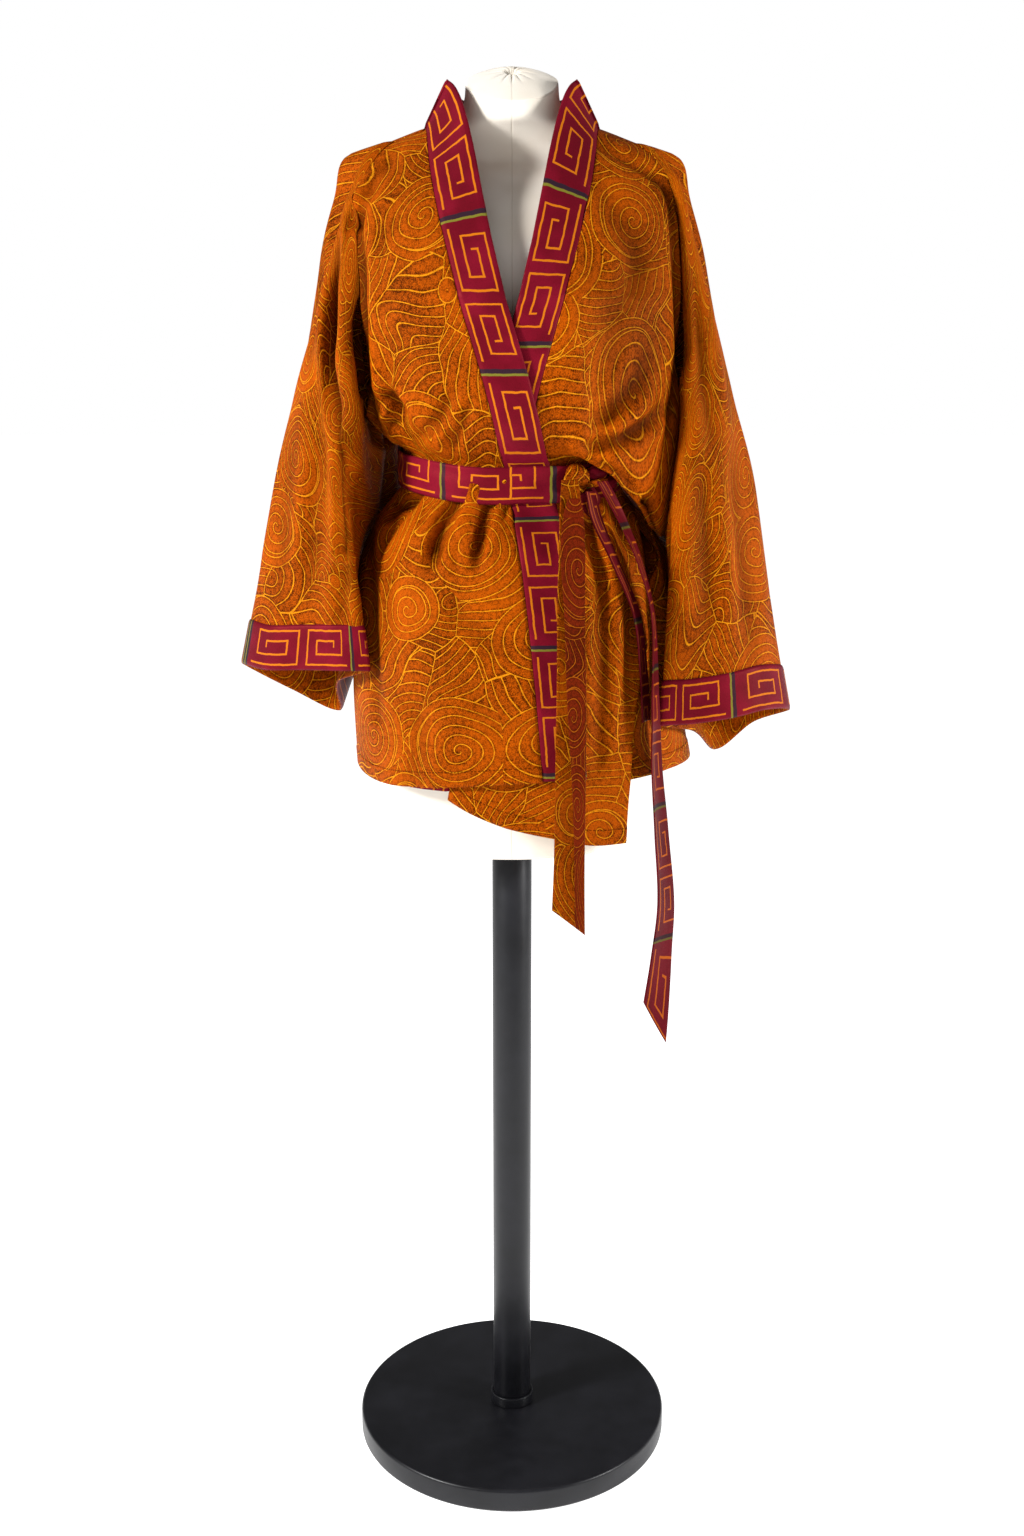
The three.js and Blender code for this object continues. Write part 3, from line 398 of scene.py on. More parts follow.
@dataclass
class GarmentSurface:
    """The garment's outside as one smooth surface, in mm."""

    body: dict[str, Curve] = field(default_factory=lambda: table("left right front back square", (
        (760, 165, 202, 150, 145, 0.92), (834, 168, 200, 150, 145, 0.92), (872, 170, 192, 150, 144, 0.92),
        (920, 172, 184, 149, 143, 0.92), (1000, 171, 178, 146, 139, 0.93), (1060, 162, 168, 139, 131, 0.95),
        (1100, 145, 145, 126, 116, 0.97), (1124, 125, 126, 113, 103, 1.0), (1138, 115, 117, 107, 96, 1.0),
        (1161, 115, 117, 107, 96, 1.0), (1184, 115, 117, 107, 96, 1.0), (1196, 130, 140, 123, 110, 1.0),
        (1212, 147, 163, 139, 121, 0.98), (1240, 163, 179, 147, 127, 0.95), (1285, 172, 183, 147, 126, 0.94),
        (1333, 178, 183, 143, 122, 0.94), (1433, 182, 184, 138, 120, 0.96),
        (1560, 184, 184, 132, 118, 1.0))))
    dome: dict[str, Curve] = field(default_factory=lambda: table("depth rise", (
        (0.0, 1.0, 0.0), (0.2, 0.86, 0.24), (0.4, 0.7, 0.47), (0.6, 0.52, 0.69), (0.8, 0.31, 0.885),
        (0.9, 0.17, 0.965), (1.0, 0.0, 1.0))))
    tip: tuple[float, float] = (183.0, 1470.0)
    slope: float = 0.415
    dip: float = 0.00055
    # angle, half width, depth, from, to, lean
    folds: tuple[tuple[float, ...], ...] = (
        (-57, 9, -9, 1035, 1137, 6), (-24, 6, -9, 1050, 1137, 8), (-9, 5, -7, 1060, 1137, 5),
        (-40, 10, 5, 1020, 1137, 5), (30, 8, -8, 960, 1137, -4), (46, 7, 6, 900, 1137, 14),
        (66, 9, -12, 800, 1137, 12), (88, 10, 7, 800, 1137, 0), (112, 9, -8, 900, 1137, -4),
        (138, 9, -7, 1000, 1137, 5), (163, 8, -9, 960, 1137, 3), (188, 8, -8, 1020, 1137, -3),
        (214, 9, -9, 980, 1137, -5), (243, 9, -7, 1030, 1137, -4), (-72, 9, 6, 1185, 1260, 0),
        (-52, 8, -11, 1185, 1300, -9), (-33, 9, 6, 1185, 1270, 0), (34, 8, -7, 1185, 1300, 10),
        (120, 11, -9, 1185, 1330, 6), (150, 10, -8, 1185, 1290, 4), (176, 9, -9, 1185, 1350, 0),
        (205, 10, -8, 1185, 1290, -4), (236, 11, -9, 1185, 1330, -6))
    swag: Curve = field(default_factory=lambda: Curve(
        [14, 24, 34, 44, 56, 68, 80, 92, 106, 122, 140], [0, 14, 40, 62, 90, 117, 128, 118, 58, 14, 0]))
    swag_levels: tuple[float, float, float] = (1186.0, 1214.0, 1300.0)

    def fold(self, angle: Array, level: Array) -> Array:
        """Depth of the long soft folds at a spot."""
        depth = np.zeros_like(angle)
        for centre, half, fold_depth, low, high, lean in self.folds:
            part = np.clip((level - low) / (high - low), 0.0, 1.0)
            waist = np.where(level < BELT, part, 1 - part)
            away = np.mod(angle - centre - lean * (waist - 1) + 540, 360) - 180
            depth += fold_depth * hump(away, half) * np.abs(np.sin(np.pi * waist**1.7))
        return depth

    def swag_drop(self, angle: Array, level: Array) -> Array:
        """How far the bodice hangs over the belt at a spot."""
        start, low, end = self.swag_levels
        drop = self.swag(np.mod(angle + 450, 360) - 90)
        part = np.where(level < low, (level - start) / (low - start), (end - level) / (end - low))
        return np.maximum(drop, 0.0) * ease(part)

    def point(self, angle: Array | float, level: Array | float) -> Array:
        """Place of a spot.

        Args:
            angle: degrees round the body.
            level: height, run on over the shoulder.

        Returns:
            Places in mm, one row each.
        """
        angle, level = np.broadcast_arrays(np.asarray(angle, float), np.asarray(level, float))
        beyond = level > RIDGE
        turned = np.where(beyond, 180 - angle, angle)
        height = np.where(beyond, 2 * RIDGE - level, level)
        sine, cosine = np.sin(np.radians(turned)), np.cos(np.radians(turned))
        square = self.body["square"](height)
        half_width = np.where(sine >= 0, self.body["right"](height), self.body["left"](height))
        half_depth = np.where(cosine >= 0, self.body["front"](height), self.body["back"](height))
        fold = self.fold(turned, height)
        x = (half_width + fold) * np.sign(sine) * np.abs(sine) ** square
        reach = -(half_depth + fold) * np.sign(cosine) * np.abs(cosine) ** square
        sag = 16.0 * np.maximum(0.0, cosine) * hump(height - BELT, 110)
        low_z = height - sag - self.swag_drop(turned, height)
        part = np.clip((height - CHEST) / (RIDGE - CHEST), 0.0, 1.0)
        inward = self.tip[0] - np.abs(x)
        ridge = self.tip[1] + self.slope * inward - self.dip * inward * inward * 0.5
        high_z = CHEST + (ridge - CHEST) * self.dome["rise"](part)
        high = height > CHEST
        y = np.where(high, reach * self.dome["depth"](part), reach)
        return np.stack([x, y, np.where(high, high_z, low_z)], axis=-1)

    def place(self, angle: Array | float, level: Array | float, out: Array | float = 0.0) -> Array:
        """Place of a spot that lies some way outside the surface."""
        angle, level = np.broadcast_arrays(np.asarray(angle, float), np.asarray(level, float))
        across = self.point(angle + 1, level) - self.point(angle - 1, level)
        up = self.point(angle, level + 2) - self.point(angle, level - 2)
        out = np.broadcast_to(np.asarray(out, float), angle.shape)
        return self.point(angle, level) + unit(np.cross(across, up)) * out[..., None]

    def sizes(self, x: Array, y: Array, level: Array) -> tuple[Array, Array]:
        """Half width and half depth on the side where each place lies."""
        wide = np.where(x >= 0, self.body["right"](level), self.body["left"](level))
        return wide, np.where(y < 0, self.body["front"](level), self.body["back"](level))

    def clear(self, points: Array, down: Array, gap: float = 10.0, lift: float = 3.0) -> Array:
        """Push places that would lie in the body out to its surface, its folds and its overhang included.

        Args:
            points: places in mm.
            down: how far down the sleeve each lies, from 0 to 1.
            gap: how far outside they end, mm.
            lift: the same at the armhole.

        Returns:
            The places, pushed outwards where it is needed.
        """
        x, y, z = points.T
        level = np.clip(z, HEM, CHEST)
        wide, deep = self.sizes(x, y, level)
        square = self.body["square"](level)
        sine = np.sign(x) * np.abs(x / wide) ** (1 / square)
        cosine = -np.sign(y) * np.abs(y / deep) ** (1 / square)
        angle = np.degrees(np.arctan2(sine, cosine))
        drop = np.maximum(0.0, self.swag(np.mod(angle + 450, 360) - 90))
        _start, low, end = self.swag_levels
        below, above = np.full_like(z, low), np.full_like(z, end)
        for _ in range(14):
            middle = (below + above) / 2
            under = middle - drop * ease((end - middle) / (end - low)) < z
            below, above = np.where(under, middle, below), np.where(under, above, middle)
        hung_wide, hung_deep = self.sizes(x, y, below)
        hangs = np.where(drop > 1, ease((z - (low - drop) + 14) / 14), 0.0)
        fold = self.fold(angle, level) + mix(lift, gap, ease(down / 0.2))
        wide, deep = mix(wide, hung_wide, hangs) + fold, mix(deep, hung_deep, hangs) + fold
        power = 2 / square
        reach = (np.abs(x / wide) ** power + np.abs(y / deep) ** power) ** (1 / power)
        needed = ease(down / 0.03) * ease((CHEST - z) / 80)
        push = mix(1.0, np.maximum(1.0, 1 / np.maximum(reach, 0.2)), needed)
        return np.stack([x * push, y * push, z], axis=1)

    def front_angle(self, x: Array | float, level: Array | float) -> Array:
        """The angle on the front where the surface has a given x."""
        x, level = np.broadcast_arrays(np.asarray(x, float), np.asarray(level, float))
        half_width = np.where(x >= 0, self.body["right"](level), self.body["left"](level))
        share = np.clip(np.abs(x) / half_width, 0, 1)
        return np.sign(x) * np.degrees(np.arcsin(share ** (1 / self.body["square"](level))))


def to_hem(row: Array, hem: Array) -> Array:
    """Stretch the rows below the waist so that a panel ends on its own hem."""
    return np.where(row >= LOOSE, row, LOOSE - (LOOSE - row) * (LOOSE - hem) / (LOOSE - HEM))


def over_out(level: Array) -> Array:
    """How far the over panel lies outside the under one."""
    return LAYER * (1 - ease((level - 1400) / 100))


def under_out(angle: Array) -> Array:
    """The under layer lies further in where the over panel covers it."""
    return -3.2 * ease((14 - angle) / 20)


@dataclass
class Seams:
    """Edges that two pieces share, as curves of level, angle or x."""

    arm_front: dict[str, Curve] = field(default_factory=lambda: table("right left", (
        (UNDERARM, 89.6, 89.6), (1216, 75.6, 82.6), (1245, 65.6, 76.6), (1333, 60.6, 75.6),
        (1400, 60.6, 70.6), (1440, 60.6, 67.6), (1480, 55, 60.6), (1508, 46.4, 50),
        (FRONT_TOP, 41.2, 43.2))))
    arm_back: Curve = field(default_factory=lambda: Curve(
        [UNDERARM, 1216, 1245, 1333, 1440, 1500, RIDGE - 4, RIDGE + 6, BACK_TOP],
        [89.6, 76.6, 69.6, 66.6, 65.6, 64, 59.5, 50.5, 42.6]))
    side_left: Curve = field(default_factory=lambda: Curve(
        [760, 834, 920, 1000, 1050, 1090, 1130, UNDERARM], [34, 36, 43, 54, 67, 81, 89.6, 89.6]))
    side_right: float = 89.6
    front: dict[str, Curve] = field(default_factory=lambda: table("over under", (
        (760, 34, -76), (834, 32, -66), (1000, 17, -28), (1130, 0, 2), (1180, -8, 10), (1333, -53, 53),
        (1400, -71, 71), (1460, -83, 83), (FRONT_TOP, -89, 89))))
    stand: Curve = field(default_factory=lambda: Curve([1380, 1440, 1490, FRONT_TOP], [0, 14, 38, 58]))
    hem_over: Curve = field(default_factory=lambda: Curve([-89, -50, 0, 30], [838, 830, 841, 847]))
    hem_under: Curve = field(default_factory=lambda: Curve(
        [-112, -76, -36, 12, 47, 80, 118], [834, 822, 805, 788, 779, 771, 771]))
    hem_back: Curve = field(default_factory=lambda: Curve(
        [34, 52, 70, 90, 130, 180, 271], [792, 800, 820, 838, 842, 834, 838]))
    neckline: Curve = field(default_factory=lambda: Curve(
        [0, 12, 19, 24, 27.5, 30, 30.9, 90], [1478, 1480, 1488, 1502, 1522, BACK_TOP, BACK_TOP, BACK_TOP]))


# --- listed creases
def creases(face: Face, *rows: tuple) -> tuple[Crease, ...]:
    """Creases that are seen on one face.

    Args:
        face: the way they are seen.
        rows: depth, width, rim, start and end of each, and then the points of its line.

    Returns:
        The creases, in the same order.
    """
    return tuple(Crease(tuple(line), depth, width, face, rim, start, end)
                 for depth, width, rim, start, end, *line in rows)


ARMHOLE_CREASES = creases(
    Face.FRONT,
    (-9, 7, 0.3, 0.6, 0.8, (-160, 1418), (-159, 1403), (-156.6, 1373), (-155.4, 1330), (-155.2, 1290),
     (-153.8, 1253), (-150.4, 1219), (-142, 1190)),
    (-6, 6.5, 0, 0.9, 0, (-161, 1408), (-150, 1434), (-140, 1456), (-112, 1484)),
    (5, 7, 0, 0.6, 0, (-168, 1400), (-160, 1428), (-150, 1447), (-122, 1478)),
    (-8, 4.5, 0, 0.2, 1, (70, 1490), (105, 1476), (139, 1460), (158, 1446), (166, 1427), (171, 1364),
     (177, 1281), (172, 1237), (163, 1200)),
    (4, 5, 0, 0.2, 0.8, (108, 1486), (146, 1470), (168, 1452), (176, 1427), (180, 1364), (186, 1281),
     (181, 1237)))
FRONT_CREASES = ARMHOLE_CREASES + creases(
    Face.FRONT,
    (-2.5, 12, 0.5, 0, 0, (66, 1455), (90, 1440), (120, 1395), (140, 1350)),
    (-2.2, 9, 0.5, 0, 0, (-150, 1350), (-128, 1395), (-100, 1432)),
    (-1.8, 8, 0.5, 0, 0, (-146, 1300), (-118, 1338), (-92, 1362)),
    (-8, 6.5, 0.6, 0, 0, (-143, 1228), (-125, 1234), (-114, 1221), (-116, 1206)),
    (-6, 5, 0.4, 0, 0, (-136, 1200), (-125, 1207), (-112, 1200)),
    (-6.5, 5.5, 0.5, 0.9, 0, (-93, 1141), (-107, 1123), (-122, 1119), (-138, 1098)),
    (-7, 6.5, 0.55, 1, 0, (-55, 1143), (-60, 1124), (-68, 1108), (-77, 1087), (-84, 1050)),
    (-6.5, 6, 0.55, 1, 0, (-18, 1143), (-24, 1122), (-30, 1104), (-35, 1080), (-38, 1050)),
    (-4, 4, 0.5, 1, 0, (-2, 1143), (-7, 1120), (-10, 1105)),
    (3.5, 6, 0.2, 0.8, 0, (-38, 1143), (-45, 1115), (-58, 1075)),
    (-2.4, 13, 0.4, 0, 0, (-75, 1060), (-50, 1010), (-20, 985), (15, 975)),
    (-3, 12, 0.4, 0, 0, (-128, 1090), (-134, 1030), (-128, 960)),
    (-1.8, 14, 0.4, 0, 0, (-60, 960), (-30, 915), (10, 890)),
    (-2.2, 12, 0.4, 0, 1, (-100, 940), (-96, 880), (-104, 835)),
    (-4, 7, 0.5, 0.8, 0, (-92, 1196), (-70, 1215), (-52, 1250)),
    (-3.5, 6, 0.5, 1, 0, (-60, 1190), (-48, 1210), (-40, 1240)),
    (-7, 7, 0.6, 0.8, 0, (79, 1186), (114, 1192), (150, 1215), (165, 1240)),
    (-4, 9, 0.5, 0, 0, (60, 1200), (95, 1215), (130, 1250), (150, 1300)),
    (-5, 5, 0.6, 0, 0, (64, 1178), (90, 1168), (118, 1150), (134, 1126)),
    (-2.2, 12, 0.4, 0, 0, (100, 1300), (120, 1340), (128, 1390)),
    # The next three creases are there mainly for their painted shade: a broad darkening over the chest, and
    # near-black lines where the sleeves stand off the body.
    (-5, 26, 0, 0, 0.8, (104, 1440), (130, 1370), (138, 1290), (126, 1200)),
    (-12, 7.5, 0, 1, 1, (141, 1122), (151, 1060), (155, 980), (156, 860)),
    (-6, 7, 0, 1, 0.5, (-160, 1130), (-153, 1060), (-147, 980), (-144, 900)),
    (-3, 15, 0.3, 0, 0.7, (74, 1400), (96, 1330), (104, 1260), (92, 1205)),
    (-5, 7, 0.5, 1, 0.4, (70, 1140), (84, 1100), (92, 1060), (94, 960), (90, 860)),
    (-4.5, 5, 0.5, 1, 0, (52, 1140), (60, 1110), (70, 1070)),
    (-5, 8, 0.4, 0.6, 0.5, (110, 1120), (120, 1060), (124, 980), (120, 880)))
BACK_CREASES = ARMHOLE_CREASES[1:] + creases(
    Face.BACK,
    (-3.5, 12, 0.5, 0, 0, (-120, 1400), (-70, 1300), (-40, 1215)),
    (-3.5, 12, 0.5, 0, 0, (120, 1400), (78, 1300), (46, 1215)),
    (-7, 6.5, 0.5, 1, 0, (-95, 1143), (-104, 1110), (-112, 1060)),
    (-7, 6.5, 0.5, 1, 0, (-60, 1143), (-64, 1100), (-72, 1040)),
    (-6, 6, 0.5, 1, 0, (-28, 1143), (-30, 1105), (-32, 1030)),
    (-7, 6, 0.5, 1, 0, (6, 1143), (8, 1110), (6, 1050)),
    (-6, 6.5, 0.5, 1, 0, (38, 1143), (42, 1100), (50, 1020)),
    (-7, 6.5, 0.5, 1, 0, (74, 1143), (82, 1100), (92, 1050)),
    (-6, 7, 0.5, 1, 0, (-80, 1190), (-70, 1225), (-66, 1270)),
    (-6, 7, 0.5, 1, 0, (-30, 1190), (-26, 1230), (-28, 1290)),
    (-5, 6, 0.5, 1, 0, (18, 1190), (20, 1225), (16, 1270)),
    (-6, 7, 0.5, 1, 0, (64, 1190), (60, 1230), (66, 1290)),
    (-3, 12, 0.4, 0, 1, (-90, 1000), (-98, 920), (-100, 840)),
    (-3, 13, 0.4, 0, 1, (60, 1000), (66, 920), (64, 840)),
    (-6, 7, 0, 1, 0.4, (-165, 1240), (-160, 1330), (-150, 1420)),
    (-6, 7, 0, 1, 0.4, (165, 1240), (160, 1330), (150, 1420)))
RIGHT_SLEEVE_CREASES = ARMHOLE_CREASES[:3] + creases(
    Face.FRONT,
    (-13, 6, 0.45, 0, 0.5, (-172, 1450), (-180, 1438), (-181, 1394), (-184, 1341), (-185, 1293),
     (-182, 1236), (-176, 1190), (-170, 1128), (-172, 1080)),
    (6, 9, 0, 0, 0, (-170, 1300), (-168, 1240), (-160, 1185)),
    (-5, 11, 0.5, 0, 0, (-190, 1230), (-205, 1130), (-218, 1000)),
    (-4.5, 12, 0.5, 0, 0, (-222, 1240), (-238, 1120), (-250, 990)),
    (-3, 8, 0.4, 0, 0, (-170, 1090), (-176, 1030), (-182, 985)),
    (-4.2, 8, 0.5, 0, 0, (-186, 1440), (-204, 1330), (-218, 1240))) + creases(
    Face.BACK,
    (-6, 11, 0.5, 0, 0, (-185, 1200), (-196, 1110), (-215, 1010)),
    (-4, 12, 0.5, 0, 0, (-215, 1300), (-235, 1180), (-250, 1060))) + creases(
    Face.OUTER,
    (-4, 10, 0.5, 0, 0, (0, 1400), (-4, 1300), (-10, 1180)),
    (-4, 10, 0.5, 0, 0, (22, 1320), (26, 1200), (10, 1050)))
LEFT_SLEEVE_CREASES = ARMHOLE_CREASES[3:] + creases(
    Face.FRONT,
    (-5, 10, 0.5, 0, 0, (226, 1230), (236, 1120), (250, 1030), (262, 930)),
    (-4.8, 11, 0.5, 0, 0, (196, 1210), (203, 1090), (206, 960)),
    (-4.5, 8, 0.5, 0, 0, (182, 1360), (198, 1250), (214, 1150))) + creases(
    Face.BACK,
    (-6, 11, 0.5, 0, 0, (190, 1200), (205, 1110), (235, 1000)),
    (-4, 12, 0.5, 0, 0, (220, 1300), (240, 1180), (262, 1040))) + creases(
    Face.OUTER,
    (-4, 10, 0.5, 0, 0, (0, 1400), (-4, 1300), (-10, 1180)),
    (-4, 10, 0.5, 0, 0, (22, 1320), (26, 1200), (10, 1050)))


# --- body of the garment
@dataclass
class KimonoBody:
    """Back, right front (on top) and left front (underneath).

    The back's right edge reaches in under the front by tuck, in degrees round the body.
    """

    surface: GarmentSurface
    seams: Seams
    cloth: Material
    hem_depth: float = 17.0
    tuck: float = 2.4
    vent_top: float = 1010.0
    front_creases: tuple[Crease, ...] = FRONT_CREASES
    back_creases: tuple[Crease, ...] = BACK_CREASES

    def fold_up(self, above_hem: Array) -> Array:
        """Extra height of the turned-up hem."""
        return 0.8 * (1 - ease((above_hem - self.hem_depth + 1.5) / 3))

    def right_front(self, u: Array, v: Array) -> Laid:
        """Shape of the over panel, from its side seam to its band."""
        row = mix(HEM, FRONT_TOP, v)
        top = np.where(row >= LOOSE, row, 1000.0)
        edge = np.where(row > UNDERARM, self.seams.arm_front["right"](row), self.seams.side_right)
        seam = self.seams.front["over"]
        guess = mix(-edge, self.surface.front_angle(seam(top), top), u)
        level = to_hem(row, self.seams.hem_over(guess))
        angle = mix(-edge, self.surface.front_angle(seam(level), level), u)
        above = level - self.seams.hem_over(guess)
        out = over_out(level) + self.fold_up(above)
        flat = np.stack([angle * FLAT_DEGREE, level], axis=1)
        return Laid(self.surface.place(angle, level, out), flat, above)

    def left_front(self, u: Array, v: Array) -> Laid:
        """Shape of the under panel, from its band to its side seam with the vent."""
        row = mix(HEM, FRONT_TOP, v)
        guess = mix(-70.0, 118.0, u)
        level = to_hem(row, self.seams.hem_under(guess))
        side = np.where(level > UNDERARM, self.seams.arm_front["left"](level), self.seams.side_left(level))
        start = self.surface.front_angle(self.seams.front["under"](level), level)
        angle = mix(start, side, u)
        lift = 5.0 * ease((0.25 - (1 - u)) / 0.25) * ease((self.vent_top - level) / 120)
        above = level - self.seams.hem_under(guess)
        out = lift + under_out(angle) * ease((1330 - level) / 60) + self.fold_up(above)
        flat = np.stack([angle * FLAT_DEGREE + 900.0, level + 37.0], axis=1)
        return Laid(self.surface.place(angle, level, out), flat, above)

    def back(self, u: Array, v: Array) -> Laid:
        """Shape of the back panel, from the left side seam round to the right one."""
        part = 1 - 2 * u
        row = mix(HEM, BACK_TOP, v)
        even = 180 - 90 * part
        hem = self.seams.hem_back(even)
        low = to_hem(row, hem)
        top = self.seams.neckline(np.abs(part) * 60)
        level = np.where(low > 1440, mix(1440.0, top, (low - 1440) / (BACK_TOP - 1440)), low)
        opened = level > UNDERARM
        seam_left = np.where(opened, 180 - self.seams.arm_back(level), self.seams.side_left(level))
        side_right = 360 - self.seams.side_right + self.tuck
        seam_right = np.where(opened, 180 + self.seams.arm_back(level), side_right)
        edge = np.where(part < 0, seam_right, seam_left)
        uniform = 180 + (edge - 180) * np.abs(part)
        neck_part = 31 / 60
        outer = (np.abs(part) - neck_part) / (1 - neck_part)
        shaped = np.where(outer <= 0, 180 - part * 60, mix(180 - np.sign(part) * 31, edge, outer))
        angle = mix(uniform, shaped, ease((level - 1250) / 200))
        above = level - hem
        flat = np.stack([angle * FLAT_DEGREE + 1500.0, level + 11.0], axis=1)
        return Laid(self.surface.place(angle, level, self.fold_up(above)), flat, above)

    def wrinkle(self, seed: int, height: float) -> Callable[[Array, Array, Array], Array]:
        """Low uneven waves of the cloth, stronger near the belt."""
        def relief(points: Array, u: Array, v: Array) -> Array:
            near_belt = np.exp(-(((points[:, 2] - BELT) / 120) ** 2))
            edge = ease(np.minimum(u, 1 - u) / 0.06)
            waves = ripple(points[:, 0] + points[:, 1], points[:, 2], seed, 150)
            return waves * height * (0.6 + 0.7 * near_belt) * edge
        return relief

    def build(self) -> None:
        """Build the back, the right front and the left front."""
        back = cloth_piece("kimono_back_panel", 150, 220, self.back, self.back_creases,
                           relief=self.wrinkle(3, 1.1))
        right = cloth_piece("kimono_right_front", 84, 230, self.right_front, self.front_creases,
                            relief=self.wrinkle(1, 0.8))
        left = cloth_piece("kimono_left_front", 84, 230, self.left_front, self.front_creases,
                           relief=self.wrinkle(2, 0.8))
        dress(back, self.cloth, "main_cloth", "kimono_back")
        dress(right, self.cloth, "main_cloth", "kimono_front_right")
        dress(left, self.cloth, "main_cloth", "kimono_front_left")


# --- bands
@dataclass
class FrontBands:
    """The band from hem to hem round the neck, in three stretches."""

    surface: GarmentSurface
    seams: Seams
    cloth: Material
    side_lean: float = 0.5
    back_lean: float = 0.1
    climb: float = 0.22

    def strip(self, over: bool, share: Array, row: Array) -> Array:
        """Places on a front band.

        Args:
            over: the over panel's band, or the under one's.
            share: 0 at the panel's seam, 1 at the free edge.
            row: level before the hem's own line.

        Returns:
            Places in mm.
        """
        sign = 1.0 if over else -1.0
        floor = self.seams.hem_over(12.0) if over else self.seams.hem_under(-96.0)
        level = to_hem(row, floor)
        stand = np.radians(self.seams.stand(level))
        seam = self.seams.front["over" if over else "under"](level)
        away = share * BAND_WIDTH
        angle = self.surface.front_angle(seam + sign * away * np.cos(stand), level)
        out = over_out(level) if over else under_out(angle) * ease((1330 - level) / 60)
        rise = away * np.sin(stand)
        edge = 1.3 * (1 - ease((share - 0.02) / 0.06) * ease((0.98 - share) / 0.06))
        flat = self.surface.place(angle, level, out + 1.0 - edge)
        return flat + np.stack([np.zeros_like(rise), -rise * 0.25, rise * 0.97], axis=1)

    def front(self, over: bool) -> Shape:
        """Shape function of a front band."""
        def shape(u: Array, v: Array) -> Laid:
            row = mix(HEM, FRONT_TOP, v)
            share = u if over else 1 - u
            along = (row - HEM) * 1.06
            flat = np.stack([along + (0.0 if over else 9000.0), share * BAND_WIDTH], axis=1)
            return Laid(self.strip(over, share, row), flat)
        return shape

    def seam_point(self, sign: Array, along: Array) -> Array:
        """The back neckline, from the front's seam (0) over the shoulder to the middle of the back (1)."""
        low = along < self.climb
        angle = np.where(low, mix(27.8, 25.6, along / self.climb),
                         mix(25.6, 0.0, (along - self.climb) / (1 - self.climb)))
        level = np.where(low, mix(BACK_TOP, 1522.0, along / self.climb), self.seams.neckline(angle))
        return self.surface.place(180 - sign * angle, level + 2.0 * ease(along / self.climb))

    def neck(self, u: Array, v: Array) -> Laid:
        """Shape of the neck band."""
        half = 1 - np.abs(2 * u - 1)
        sign = np.where(u < 0.5, -1.0, 1.0)
        seam = self.seam_point(sign, half)
        inward = np.array([0.0, -6.0, 0.0]) - seam
        inward[:, 2] = 0
        inward = unit(inward)
        rise = v * BAND_WIDTH
        lean = mix(self.side_lean, self.back_lean, ease(half))
        standing = seam + inward * (rise * lean)[:, None]
        standing[:, 2] += rise * np.sqrt(1 - lean * lean)
        top = np.full_like(v, FRONT_TOP)
        end_over, end_under = self.strip(True, v, top), self.strip(False, v, top)
        end = np.where((u < 0.5)[:, None], end_over, end_under)
        blend = ease(1 - half / (self.climb * 1.4))[:, None]
        flat = np.stack([740.0 + u * 250.0, v * BAND_WIDTH], axis=1)
        return Laid(mix(standing, end, blend), flat)

    def build(self) -> None:
        """Build the over band, the neck band and the under band."""
        over = cloth_piece("band_right_front", 24, 300, self.front(True), thick=2.6)
        neck = cloth_piece("band_neck_stretch", 140, 24, self.neck, thick=2.6)
        under = cloth_piece("band_left_front", 24, 300, self.front(False), thick=2.6)
        dress(over, self.cloth, "band_cloth", "band_over")
        dress(neck, self.cloth, "band_cloth", "band_neck")
        dress(under, self.cloth, "band_cloth", "band_under")


